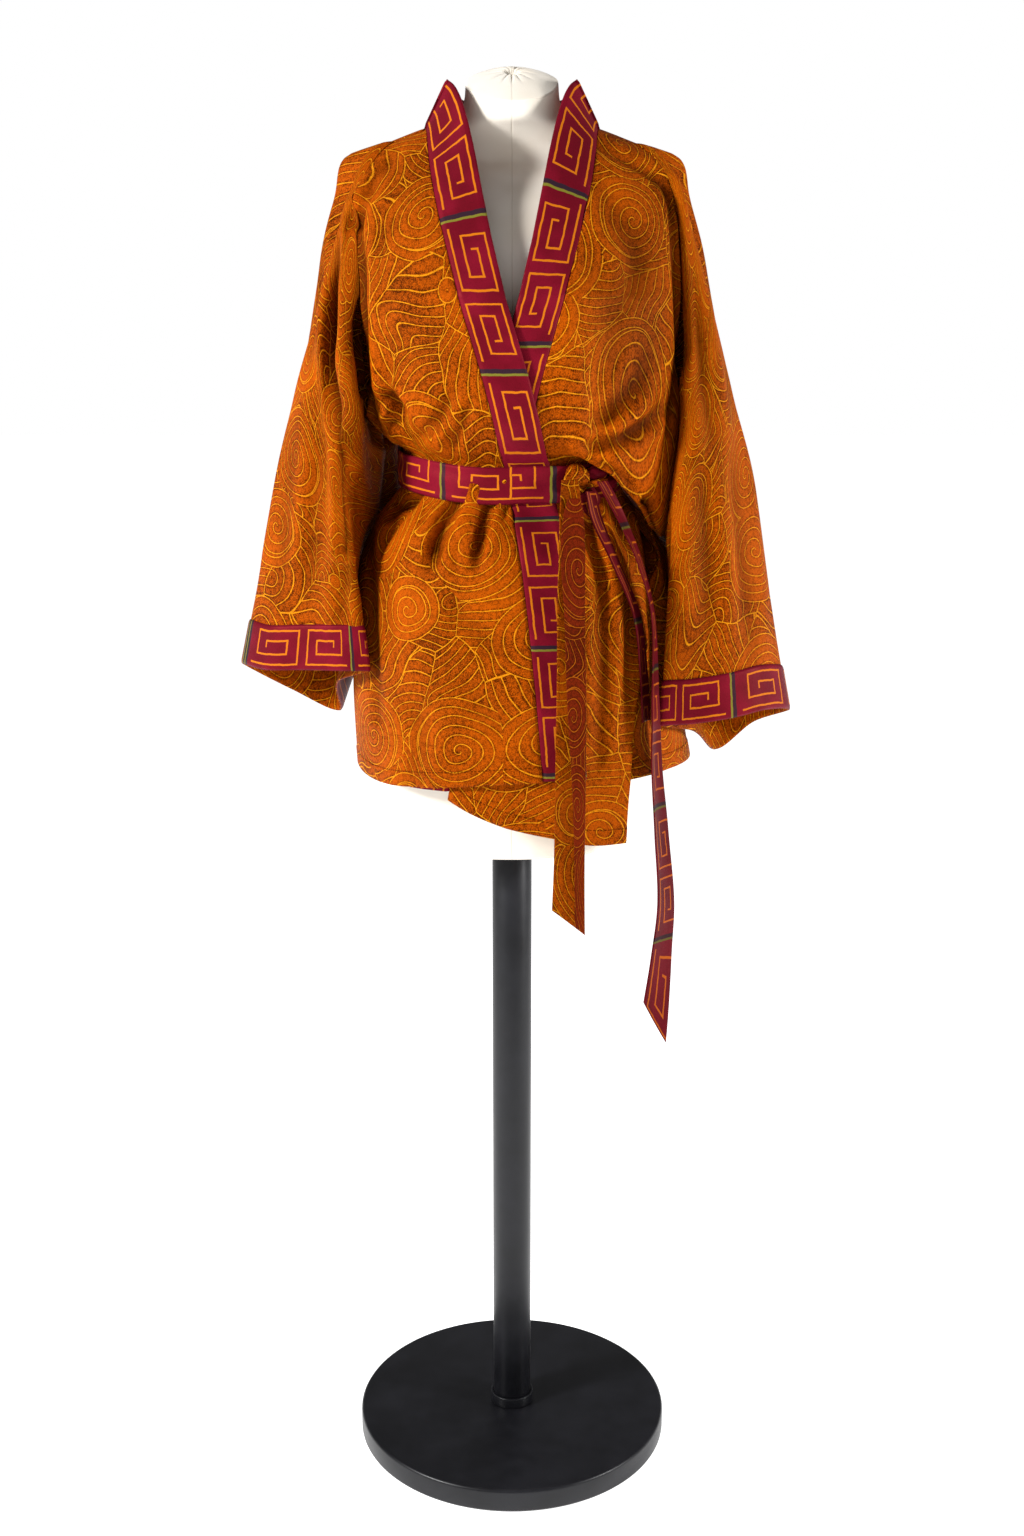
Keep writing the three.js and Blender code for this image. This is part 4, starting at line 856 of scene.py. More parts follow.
# --- sleeves
@dataclass
class Sleeve:
    """A wide hanging sleeve with its cuff band."""

    side: Side
    lines: dict[str, Curve]
    surface: GarmentSurface
    seams: Seams
    cloth: Material
    band: Material
    creases: tuple[Crease, ...] = ()
    cuff_depth: float = 50.0
    length: float = 600.0
    girth: float = 585.0
    cuff_girth: float = 440.0
    cap_middle: float = 0.985
    cap_push: tuple[float, float, float] = (88.0, -6.0, -2.0)
    cap_corner: float = 8.0

    def armhole(self, around: Array) -> Array:
        """The armhole's edge: around runs down its front and up its back."""
        sign = self.side.value
        under = UNDERARM
        front_level = mix(FRONT_TOP, under, around * 2)
        right = self.side is Side.RIGHT
        front_angle = self.seams.arm_front["right" if right else "left"](front_level)
        front = self.surface.place(sign * front_angle, front_level, over_out(front_level) if right else 0.0)
        back_level = mix(under, BACK_TOP, around * 2 - 1)
        back = self.surface.place(180 - sign * self.seams.arm_back(back_level), back_level)
        return np.where((around <= 0.5)[:, None], front, back)

    def point(self, around: Array, down: Array) -> Array:
        """A place on the sleeve; down runs from the armhole (0) to the cuff's edge (1)."""
        sign = self.side.value
        start = self.armhole(around)
        column = {name: curve(around) for name, curve in self.lines.items()}
        middle = np.stack([sign * column["mid_x"], column["mid_y"], column["mid_z"]], axis=1)
        end = np.stack([sign * column["cuff_x"], column["cuff_y"], column["cuff_z"]], axis=1)
        chord = (end - start) * 0.5
        from_cap = np.mod(around - self.cap_middle + 1.5, 1) - 0.5
        outward = np.array(self.cap_push) * np.array([sign, 1, 1])
        leave = mix(middle - start, outward, hump(from_cap, 0.17)[:, None])
        arrive = end - middle
        t = np.where(down < 0.5, down * 2, down * 2 - 1)[:, None]
        upper = hermite(start, middle, leave, chord, t)
        lower = hermite(middle, end, chord, arrive, t)
        corner = self.cap_corner * hump(from_cap, 0.13) * np.exp(-(((down - 0.075) / 0.05) ** 2))
        place = np.where((down < 0.5)[:, None], upper, lower)
        place = place + corner[:, None] * np.array([sign * 0.8, 0.0, 0.6])
        return self.surface.clear(place, down)

    def ring(self, u: Array) -> Array:
        """Turn the grid's u so that the outside faces out on both sides."""
        return np.mod(1.5 - u if self.side is Side.LEFT else u + 0.5, 1.0)

    def tube(self, u: Array, v: Array) -> Laid:
        """Shape of the sleeve's main cloth."""
        around, down = self.ring(u), 1 - v
        shift = 3000.0 if self.side is Side.LEFT else 4000.0
        girth = mix(self.cuff_girth, self.girth, ease((v - 0.1) / 0.5))
        flat = np.stack([shift + (u - 0.5) * girth, v * self.length], axis=1)
        return Laid(self.point(around, down), flat)

    def cuff(self, u: Array, v: Array) -> Laid:
        """Shape of the cuff band, a little outside the sleeve."""
        u = u + 0.5
        around = self.ring(u)
        last_fifth = self.point(around, np.full_like(u, 0.8)) - self.point(around, np.ones_like(u))
        share = self.cuff_depth / np.linalg.norm(last_fifth, axis=1) * 0.2
        down = 1.0 - v * share
        step = 0.004
        across = self.point(self.ring(u + step), down) - self.point(self.ring(u - step), down)
        up = self.point(around, down - 0.01) - self.point(around, np.minimum(down + 0.01, 1.0))
        edge = ease(np.minimum(v, 1 - v) / 0.07)
        out = 0.9 + 1.0 * edge
        places = self.point(around, down) + unit(np.cross(across, up)) * out[:, None]
        shift = 2000.0 if self.side is Side.LEFT else 4000.0
        flat = np.stack([shift + (u - 0.5) * 450.0, v * self.cuff_depth * 0.92], axis=1)
        return Laid(places, flat)

    def relief(self, points: Array, u: Array, v: Array) -> Array:
        """Low uneven waves that fade at both ends."""
        seed = 5 if self.side is Side.LEFT else 6
        waves = ripple(points[:, 0] * 1.4 + points[:, 1], points[:, 2] * 0.5, seed, 120)
        return waves * 0.8 * ease(v / 0.15) * ease((1 - v) / 0.15)

    def build(self) -> None:
        """Build the sleeve and its cuff band."""
        word = self.side.name.lower()
        sleeve = cloth_piece(f"sleeve_{word}_cloth", 160, 190, self.tube, self.creases, closed=True,
                             relief=self.relief)
        cuff = cloth_piece(f"cuff_{word}_band", 160, 22, self.cuff, closed=True, thick=1.6)
        dress(sleeve, self.cloth, "main_cloth", f"sleeve_{word}")
        dress(cuff, self.band, "band_cloth", f"cuff_{word}")


# By share of the way round the armhole: the sleeve's place half way down and at its cuff; x is outwards.
SLEEVE_COLUMNS = "mid_x mid_y mid_z cuff_x cuff_y cuff_z"
RIGHT_SLEEVE = (
    (0.08, 219, -54, 1232, 266, -60, 945), (0.17, 196, -72, 1204, 225, -78, 948),
    (0.28, 180, -97, 1180, 184, -94, 950), (0.41, 170, -94, 1134, 151, -98, 950),
    (0.445, 165, -66, 1124, 161, -88, 946), (0.5, 146, 6, 1112, 189, -54, 931),
    (0.62, 114, 86, 1142, 196, 26, 884), (0.79, 207, 56, 1190, 248, 24, 908),
    (0.95, 231, 2, 1240, 297, -14, 944))
LEFT_SLEEVE = (
    (0.08, 230, -58, 1205, 274, -68, 903), (0.17, 213, -82, 1188, 236, -88, 898),
    (0.28, 188, -94, 1162, 193, -96, 893), (0.41, 168, -88, 1130, 158, -102, 892),
    (0.445, 166, -64, 1118, 169, -91, 888), (0.5, 158, 6, 1100, 199, -52, 876),
    (0.62, 124, 88, 1132, 232, 20, 840), (0.79, 217, 54, 1185, 273, 18, 872),
    (0.95, 240, 0, 1222, 307, -18, 893))


# --- belt
@dataclass
class Belt:
    """The wound stretch, its knot with two loops, and the two hanging ends."""

    surface: GarmentSurface
    cloth: Material
    band: Material
    # Darker copies of the band and the main cloth: painted shade for the lower loop, the fold and the ends
    # that hang in shadow.
    shaded_band: Material
    shaded_cloth: Material
    half: float = 19.0
    wall: float = 2.0
    front_tail: dict[str, Curve] = field(default_factory=lambda: table("x y turn width", (
        (706, 59.5, -163, -6, 35), (760, 60, -163, -3, 32), (860, 60.5, -163, 0, 31),
        (960, 61, -161, 0, 30), (1030, 60, -156, 2, 28), (1080, 60, -147, 4, 25), (1120, 60, -131, 8, 23),
        (1152, 59, -122, 10, 17))))
    fold_tail: dict[str, Curve] = field(default_factory=lambda: table("x y turn width", (
        (688, 71, -165.6, -6, 10), (760, 70.5, -165.6, -3, 10), (840, 69, -165.8, 0, 13),
        (930, 66, -165.8, 0, 19), (1020, 63.5, -162.5, 2, 21), (1060, 62, -157, 3, 24),
        (1090, 61.5, -151, 5, 25), (1120, 62.5, -138, 8, 20), (1134, 63, -132, 8, 12))))
    side_tail: dict[str, Curve] = field(default_factory=lambda: table("x y turn width", (
        (590, 156, -118, 34, 30), (640, 162, -118, 40, 30), (700, 166, -119, 46, 30),
        (780, 159, -119, 54, 29), (850, 152, -120, 66, 27), (920, 150, -118, 74, 25),
        (1012, 147, -113, 76, 22), (1066, 133, -110, 68, 19), (1108, 115, -110, 54, 16),
        (1140, 98, -110, 34, 13), (1150, 92, -112, 26, 11))))
    inner_tail: dict[str, Curve] = field(default_factory=lambda: table("x y turn width", (
        (900, 141, -117, 66, 18), (950, 138, -116, 64, 18), (1013, 130, -115, 58, 16),
        (1068, 107, -115, 46, 13), (1110, 88, -113, 26, 13), (1140, 80, -114, 20, 10))))

    def out(self, angle: Array) -> Array:
        """How far the belt lies outside the surface: on two more layers in front."""
        turned = np.mod(angle + 540, 360) - 180
        return 1.6 + (LAYER + 0.6) * ease((turned + 112) / 22) * ease((78 - turned) / 30) + self.wall

    def line(self, angle: Array) -> Array:
        """The belt's middle line."""
        return self.surface.place(angle, np.full_like(angle, BELT), self.out(angle))

    def waist(self, u: Array, v: Array) -> Laid:
        """Shape of the wound stretch."""
        angle = np.mod(u, 1.0) * 360
        places = self.line(angle)
        across = (v - 0.5) * 2
        edge = 1 - ease((np.abs(across) - 0.86) / 0.14)
        outward = unit(places * np.array([1.0, 1.0, 0.0]))
        fold = 0.7 * np.sin(across * 5 + np.radians(angle) * 3) * ripple(angle * 6, across * 30, 4, 420, 4)
        places = places + outward * (edge * 1.0 - 0.6 + fold)[:, None]
        places[:, 2] += across * self.half + 1.2 * ripple(angle * 5, across * 8, 7, 500, 3)
        flat = np.stack([5000.0 + u * 700.0, v * BAND_WIDTH * 0.84], axis=1)
        return Laid(places, flat)

    def tail(self, rows: dict[str, Curve], low: float, high: float, skew: float, shift: float,
             curl: float) -> Shape:
        """Shape function of a hanging end.

        Args:
            rows: its middle line, turn and width by height.
            low: height of the tip's higher corner.
            high: height of its top.
            skew: how much lower the other corner is.
            shift: where it is cut from the flat cloth.
            curl: how far its edges curl forward.

        Returns:
            The shape function.
        """
        def shape(u: Array, v: Array) -> Laid:
            z = mix(low, high, v)
            side = u - 0.5
            sway = 1.2 * np.sin(z / 37.0 + 1.0) + 0.8 * np.sin(z / 17.0)
            turn = np.radians(rows["turn"](z) + 5 * np.sin(z / 52.0))
            width = rows["width"](z) * side
            bow = curl * (4 * side * side - 0.3) * (0.6 + 0.4 * np.sin(z / 61.0))
            x = rows["x"](z) + width * np.cos(turn) + bow * np.sin(turn)
            y = rows["y"](z) + width * np.sin(turn) - bow * np.cos(turn) + sway
            drop = skew * (side + 0.5) * ease((low + 70 - z) / 70)
            flat = np.stack([shift + (z - low), (side + 0.5) * 38.0], axis=1)
            return Laid(np.stack([x, y, z + drop], axis=1), flat)
        return shape

    def pillow(self, centre: tuple[float, float], half: tuple[float, float], tilt: float, thick: float,
               out: float, seed: int, blunt: float = 0.5) -> Shape:
        """Shape function of a pinched fold of cloth that lies on the belt.

        Args:
            centre: its middle, x and height in mm.
            half: half its length and half its width.
            tilt: degrees that its length leans from upright, to the right.
            thick: how far it stands out.
            out: how far off the belt it starts.
            seed: picks its creases.
            blunt: how blunt its ends are; small is blunt.

        Returns:
            The shape function: u runs round the fold, v along it.
        """
        def shape(u: Array, v: Array) -> Laid:
            turn = np.mod(u, 1.0) * 2 * np.pi
            swell = np.sin(np.pi * np.clip(v, 0.0, 1.0)) ** blunt
            ridge = 1 + 0.09 * np.sin(5 * turn + 5 * v + seed) + 0.06 * np.sin(8 * turn - 7 * v + 2 * seed)
            along = (2 * v - 1) * half[0]
            aside = half[1] * swell * np.cos(turn) * ridge
            lean = math.radians(tilt)
            x = centre[0] + along * math.sin(lean) + aside * math.cos(lean)
            z = centre[1] + along * math.cos(lean) - aside * math.sin(lean)
            angle = self.surface.front_angle(x, BELT)
            base = self.line(angle)
            ahead = unit((self.line(angle + 1) - self.line(angle - 1)) * np.array([1.0, 1.0, 0.0]))
            outward = np.stack([ahead[:, 1], -ahead[:, 0], np.zeros_like(u)], axis=1)
            bulge = 0.5 * thick * swell * (1 + np.sin(turn) * ridge)
            places = base + outward * (out + bulge)[:, None]
            places[:, 2] = z
            flat = np.stack([7000.0 + seed * 130 + v * 2 * half[0], u * 46.0], axis=1)
            return Laid(places, flat)
        return shape

    def put_on(self, piece: Object, cloth: Material, *nodes: str) -> Object:
        """Dress a fold or an end with its cloth."""
        slot = "main_cloth" if cloth in (self.cloth, self.shaded_cloth) else "band_cloth"
        return dress(piece, cloth, slot, *nodes)

    def build(self) -> None:
        """Build the wound stretch, the knot's folds and the two hanging ends."""
        waist = cloth_piece("belt_wound", 320, 18, self.waist, closed=True, thick=2.2)
        for name, centre, half, tilt, thick, out, seed, blunt, cloth, *nodes in (
            ("belt_knot_wrap", (59.5, 1150.0), (17.5, 11.0), 3.0, 13.0, 0.4, 1, 0.4, self.cloth,
             "belt_knot"),
            ("belt_loop_top", (79.0, 1156.5), (11.0, 8.0), 84.0, 12.0, 0.4, 2, 0.45, self.band,
             "belt_loop_upper"),
            ("belt_loop_low", (70.5, 1131.0), (20.0, 8.5), -12.0, 10.0, 3.0, 4, 0.7, self.shaded_band),
            ("belt_loop_cross", (76.0, 1147.5), (12.0, 3.6), 76.0, 8.0, 7.0, 5, 0.5, self.cloth),
            ("belt_loop_side", (95.0, 1147.0), (12.5, 6.5), 72.0, 8.0, 1.5, 3, 0.5, self.band,
             "belt_loop_lower"),
        ):
            shape = self.pillow(centre, half, tilt, thick, out, seed, blunt)
            fold = cloth_piece(name, 40, 48, shape, closed=True, thick=0.8, inward=1.0)
            self.put_on(fold, cloth, *nodes)
        for name, rows, low, high, skew, shift, curl, cloth, *nodes in (
            ("belt_end_front", self.front_tail, 706, 1152, -27, 8000, 2.0, self.cloth, "belt_tail_front"),
            ("belt_end_fold", self.fold_tail, 688, 1134, -7, 12000, 1.0, self.shaded_cloth),
            ("belt_end_side", self.side_tail, 590, 1150, -52, 10000, 3.0, self.shaded_band, "belt_tail_side"),
            ("belt_end_inner", self.inner_tail, 900, 1140, 0, 11000, 2.0, self.shaded_band),
        ):
            shape = self.tail(rows, low, high, skew, shift, curl)
            # Painted shade over each whole strip: the hanging ends lie in shadow.
            strip = cloth_piece(name, 18, 280, shape, thick=1.5, shade=0.4)
            self.put_on(strip, cloth, *nodes)
        dress(waist, self.band, "band_cloth", "belt_waist")


# --- dress form
@dataclass
class DressForm:
    """Padded limbless torso with a neck and a gathered cap."""

    jersey: Material
    underside: float = 740.0
    neck_top: float = 1550.0
    dimple: float = 9.0
    crown: float = 11.0
    sections: dict[str, Curve] = field(default_factory=lambda: table("side front back lean", (
        (740, 140, 92, 104, 0), (752, 147, 99, 111, 0), (850, 152, 103, 117, 0), (955, 148, 103, 118, 0),
        (1060, 122, 95, 100, 0), (1155, 102, 86, 82, 0), (1250, 124, 100, 95, 0), (1325, 141, 115, 102, 0),
        (1385, 149, 96, 97, 0), (1425, 153, 72, 80, 0), (1452, 153, 46, 50, 0), (1469, 144, 26, 30, 0),
        (1481, 126, 27, 29, 0), (1492, 102, 31, 30, 0), (1503, 77, 38, 33, 0.03), (1516, 58, 45, 35, 0.16),
        (1532, 50, 48, 36, 0.36), (1550, 48, 49, 37, 0.5))))

    def ring(self, turn: Array, z: Array, scale: Array | float = 1.0) -> Array:
        """Places round the form at a height."""
        cosine = np.cos(turn)
        depth = np.where(cosine >= 0, self.sections["front"](z), self.sections["back"](z))
        y = -cosine * depth * scale
        x = np.sin(turn) * self.sections["side"](z) * scale
        return np.stack([x, y, z + self.sections["lean"](z) * y], axis=1)

    def torso(self, u: Array, v: Array) -> Laid:
        """Shape of the torso, closed at its flat underside and under the cap."""
        turn = np.mod(u, 1.0) * 2 * np.pi
        share = np.clip((v - 0.05) / 0.93, 0.0, 1.0)
        z = mix(self.underside, self.neck_top, 1 - (1 - share) ** 1.35)
        scale = np.clip(v / 0.05, 0.0, 1.0) * np.where(v > 0.98, (1 - v) / 0.02, 1.0)
        flat = np.stack([u * 800.0, v * 900.0], axis=1)
        return Laid(self.ring(turn, z, scale), flat)

    def cap(self, u: Array, v: Array) -> Laid:
        """Shape of the cap: cloth drawn in pleats to a dimple."""
        turn = np.mod(u, 1.0) * 2 * np.pi
        top = v > 0.2
        radius = np.where(top, (1 - v) / 0.8, 1.0)
        scale = 0.995 * np.clip(radius, 0.0, 1.0) * np.where(v < 0.08, 0.975, 1.0)
        z = np.full_like(v, self.neck_top)
        rise = np.where(top, self.crown * (1 - radius**2.4), 0.0) - self.dimple * ease(1 - radius / 0.22)
        pleat = (np.abs(np.sin(turn * 6.5 + 0.4 * np.sin(turn * 3))) ** 0.6 - 0.6) * 2.0
        rise = rise + pleat * hump(radius - 0.32, 0.33) + np.where(top, 0.0, (v / 0.2 - 1) * 3.0)
        places = self.ring(turn, z, scale)
        places[:, 2] += rise + 0.9
        flat = np.stack([u * 300.0, v * 80.0], axis=1)
        return Laid(places, flat)

    def build(self) -> None:
        """Build torso and cap, each a closed skin without a wall."""
        for name, columns, rows, shape, node in (
            ("dress_form_torso", 128, 170, self.torso, "form_torso"),
            ("dress_form_cap", 156, 60, self.cap, "form_cap"),
        ):
            piece = cloth_piece(name, columns, rows, shape, closed=True)
            piece.modifiers.clear()
            dress(piece, self.jersey, "form_jersey", node)


# --- stand
def turned(name: str, profile: tuple[tuple[float, float], ...], steps: int, rounding: float,
           segments: int) -> Object:
    """A turned piece from a profile of (radius, height), with its corners rounded.

    Args:
        name: the piece's name.
        profile: points in mm.
        steps: faces round.
        rounding: corner radius in mm.
        segments: faces in each rounded corner.

    Returns:
        The object.
    """
    bm = bmesh.new()
    points = [bm.verts.new((r * MM, 0.0, z * MM)) for r, z in profile]
    for pair in zip(points, points[1:]):
        bm.edges.new(pair)
    bmesh.ops.bevel(bm, geom=points[1:-1], offset=rounding * MM, affect="VERTICES", segments=segments,
                    profile=0.5, material=-1)
    bmesh.ops.spin(bm, geom=list(bm.verts) + list(bm.edges), axis=(0, 0, 1), cent=(0, 0, 0),
                   angle=2 * math.pi, steps=steps, use_merge=True)
    bmesh.ops.remove_doubles(bm, verts=bm.verts, dist=1e-6)
    bmesh.ops.recalc_face_normals(bm, faces=bm.faces)
    mesh = bpy.data.meshes.new(name)
    bm.to_mesh(mesh)
    bm.free()
    mesh.shade_smooth()
    mesh.set_sharp_from_angle(angle=math.radians(50))
    return link(mesh, name)


@dataclass
class Stand:
    """Round base, foot collar and pole."""

    steel: Material
    base_radius: float = 184.0
    base_height: float = 28.0
    foot: float = 28.2
    pole_radius: float = 22.5
    pole_top: float = 742.0
    collar_bore: float = 22.6
    collar_radius: float = 25.5
    collar_top: float = 41.0

    def build(self) -> None:
        """Build the base, the collar and the pole."""
        disc = ((0, 0), (self.base_radius, 0), (self.base_radius, self.base_height), (0, self.base_height))
        sleeve = ((self.collar_bore, self.foot), (self.collar_radius, self.foot),
                  (self.collar_radius, self.collar_top), (self.collar_bore, self.collar_top),
                  (self.collar_bore, self.foot))
        tube = ((0, self.foot), (self.pole_radius, self.foot), (self.pole_radius, self.pole_top),
                (0, self.pole_top))
        for name, node, profile, steps, rounding, segments in (
            ("stand_round_base", "stand_base", disc, 160, 4.0, 5),
            ("stand_foot_collar", "stand_collar", sleeve, 72, 0.9, 3),
            ("stand_pole_tube", "stand_pole", tube, 72, 0.8, 2),
        ):
            dress(turned(name, profile, steps, rounding, segments), self.steel, "black_steel", node)


# --- node helpers
class Web:
    """A short way to lay out the nodes of one tree."""

    def __init__(self, tree: NodeTree) -> None:
        """Keep the tree."""
        self.tree = tree

    def add(self, kind: str, **settings: object) -> Node:
        """Add a node and set its properties."""
        node = self.tree.nodes.new(kind)
        for key, value in settings.items():
            setattr(node, key, value)
        return node

    def feed(self, socket: NodeSocket, value: object) -> None:
        """Link a socket to another, or set its value."""
        if isinstance(value, NodeSocket):
            self.tree.links.new(value, socket)
        elif value is not None:
            socket.default_value = value

    def math(self, operation: str, *values: object) -> NodeSocket:
        """A Math node's result."""
        node = self.add("ShaderNodeMath", operation=operation)
        for socket, value in zip(node.inputs, values):
            self.feed(socket, value)
        return node.outputs[0]

    def vector(self, operation: str, *values: object) -> NodeSocket:
        """A Vector Math node's result."""
        node = self.add("ShaderNodeVectorMath", operation=operation)
        for socket, value in zip(node.inputs, values):
            self.feed(socket, value)
        return node.outputs["Value" if operation in ("LENGTH", "DOT_PRODUCT") else "Vector"]

    def blend(self, factor: object, a: object, b: object, kind: str = "MIX") -> NodeSocket:
        """A colour mix."""
        node = self.add("ShaderNodeMix", data_type="RGBA", blend_type=kind)
        self.feed(node.inputs["Factor"], factor)
        self.feed(node.inputs[6], a)
        self.feed(node.inputs[7], b)
        return node.outputs[2]

    def number(self, factor: object, a: object, b: object) -> NodeSocket:
        """A number mix."""
        node = self.add("ShaderNodeMix", data_type="FLOAT")
        for socket, value in zip((node.inputs[0], node.inputs[2], node.inputs[3]), (factor, a, b)):
            self.feed(socket, value)
        return node.outputs[0]

    def span(self, value: object, low: float, high: float, to_low: float = 0.0, to_high: float = 1.0,
             kind: str = "SMOOTHSTEP") -> NodeSocket:
        """A Map Range node's result."""
        node = self.add("ShaderNodeMapRange", interpolation_type=kind)
        for name, number in zip(("Value", "From Min", "From Max", "To Min", "To Max"),
                                (value, low, high, to_low, to_high)):
            self.feed(node.inputs[name], number)
        return node.outputs[0]

    def noise(self, vector: object, scale: float, detail: float = 2.0, roughness: float = 0.5,
              dimensions: str = "3D") -> Node:
        """A Noise texture."""
        node = self.add("ShaderNodeTexNoise", noise_dimensions=dimensions)
        self.feed(node.inputs["Vector"], vector)
        node.inputs["Scale"].default_value = scale
        node.inputs["Detail"].default_value = detail
        node.inputs["Roughness"].default_value = roughness
        return node

    def split(self, vector: object) -> list[NodeSocket]:
        """The three parts of a vector."""
        node = self.add("ShaderNodeSeparateXYZ")
        self.feed(node.inputs[0], vector)
        return node.outputs

    def attribute(self, name: str) -> NodeSocket:
        """A number that the mesh carries at its vertices."""
        return self.add("ShaderNodeAttribute", attribute_type="GEOMETRY", attribute_name=name).outputs["Fac"]

    def coat(self, shader: Node, colour: object, roughness: object, gloss: float,
             glint: str = "FFFFFF") -> None:
        """Feed a shader's colour and roughness, and set the level and tint of its reflections."""
        self.feed(shader.inputs["Base Color"], colour)
        self.feed(shader.inputs["Roughness"], roughness)
        self.feed(shader.inputs["Specular IOR Level"], gloss)
        self.feed(shader.inputs["Specular Tint"], linear(glint))

    def bump(self, shader: Node, height: object, strength: float, distance: float) -> None:
        """Give a shader fine relief from a height."""
        node = self.add("ShaderNodeBump")
        node.inputs["Strength"].default_value = strength
        node.inputs["Distance"].default_value = distance
        self.feed(node.inputs["Height"], height)
        self.feed(shader.inputs["Normal"], node.outputs[0])

    def group(self, tree: NodeTree, **values: object) -> Node:
        """Place a node group and feed its inputs."""
        node = self.add("ShaderNodeGroup")
        node.node_tree = tree
        for name, value in values.items():
            self.feed(node.inputs[name.replace("_", " ")], value)
        return node


def new_group(
    name: str, inputs: tuple[tuple[str, str, object], ...], outputs: tuple[tuple[str, str], ...]
) -> tuple[NodeTree, Web, Node, Node]:
    """An empty shader node group.

    Args:
        name: the group's name.
        inputs: name, kind and default of each input.
        outputs: name and kind of each output.

    Returns:
        The group's tree, its web, and its input and output nodes.
    """
    tree = bpy.data.node_groups.new(name, "ShaderNodeTree")
    for label, kind, default in inputs:
        socket = tree.interface.new_socket(label, in_out="INPUT", socket_type=kind)
        if default is not None:
            socket.default_value = default
    for label, kind in outputs:
        tree.interface.new_socket(label, in_out="OUTPUT", socket_type=kind)
    web = Web(tree)
    return tree, web, web.add("NodeGroupInput"), web.add("NodeGroupOutput")


def linear(code: str) -> tuple[float, float, float, float]:
    """A colour from its six-digit code, for a shader's socket."""
    parts = [int(code[k:k + 2], 16) / 255 for k in (0, 2, 4)]
    return tuple(p / 12.92 if p <= 0.04045 else ((p + 0.055) / 1.055) ** 2.4 for p in parts) + (1.0,)


def new_material(name: str) -> tuple[Material, Web, Node]:
    """An empty material.

    Args:
        name: its name.

    Returns:
        The material, its web and its Principled BSDF.
    """
    material = bpy.data.materials.new(name)
    material.use_nodes = True
    web = Web(material.node_tree)
    shader = next(n for n in material.node_tree.nodes if n.type == "BSDF_PRINCIPLED")
    return material, web, shader


# --- finishes
def grain_group() -> NodeTree:
    """Fine crepe grain of silk cloth: a height and a tone, from the cloth's own flat map."""
    tree, web, given, made = new_group(
        "crepe_grain", (("Vector", "NodeSocketVector", None), ("Size", "NodeSocketFloat", 1.0)),
        (("Height", "NodeSocketFloat"), ("Tone", "NodeSocketFloat")))
    scaled = web.vector("MULTIPLY", given.outputs["Vector"], (1.0, 0.62, 1.0))
    sized = web.add("ShaderNodeVectorMath", operation="SCALE")
    web.feed(sized.inputs[0], scaled)
    web.feed(sized.inputs["Scale"], given.outputs["Size"])
    fine = web.noise(sized.outputs[0], 1150.0, 1.0)
    broad = web.noise(sized.outputs[0], 300.0, 2.0, 0.6)
    web.feed(made.inputs["Height"], web.math("ADD", fine.outputs[0],
                                             web.math("MULTIPLY", broad.outputs[0], 0.7)))
    web.feed(made.inputs["Tone"], web.math("MULTIPLY_ADD", fine.outputs[0], 0.6,
                                           web.math("MULTIPLY", broad.outputs[0], 0.4)))
    return tree


MID_NOISE = (0.5, 0.5, 0.5)


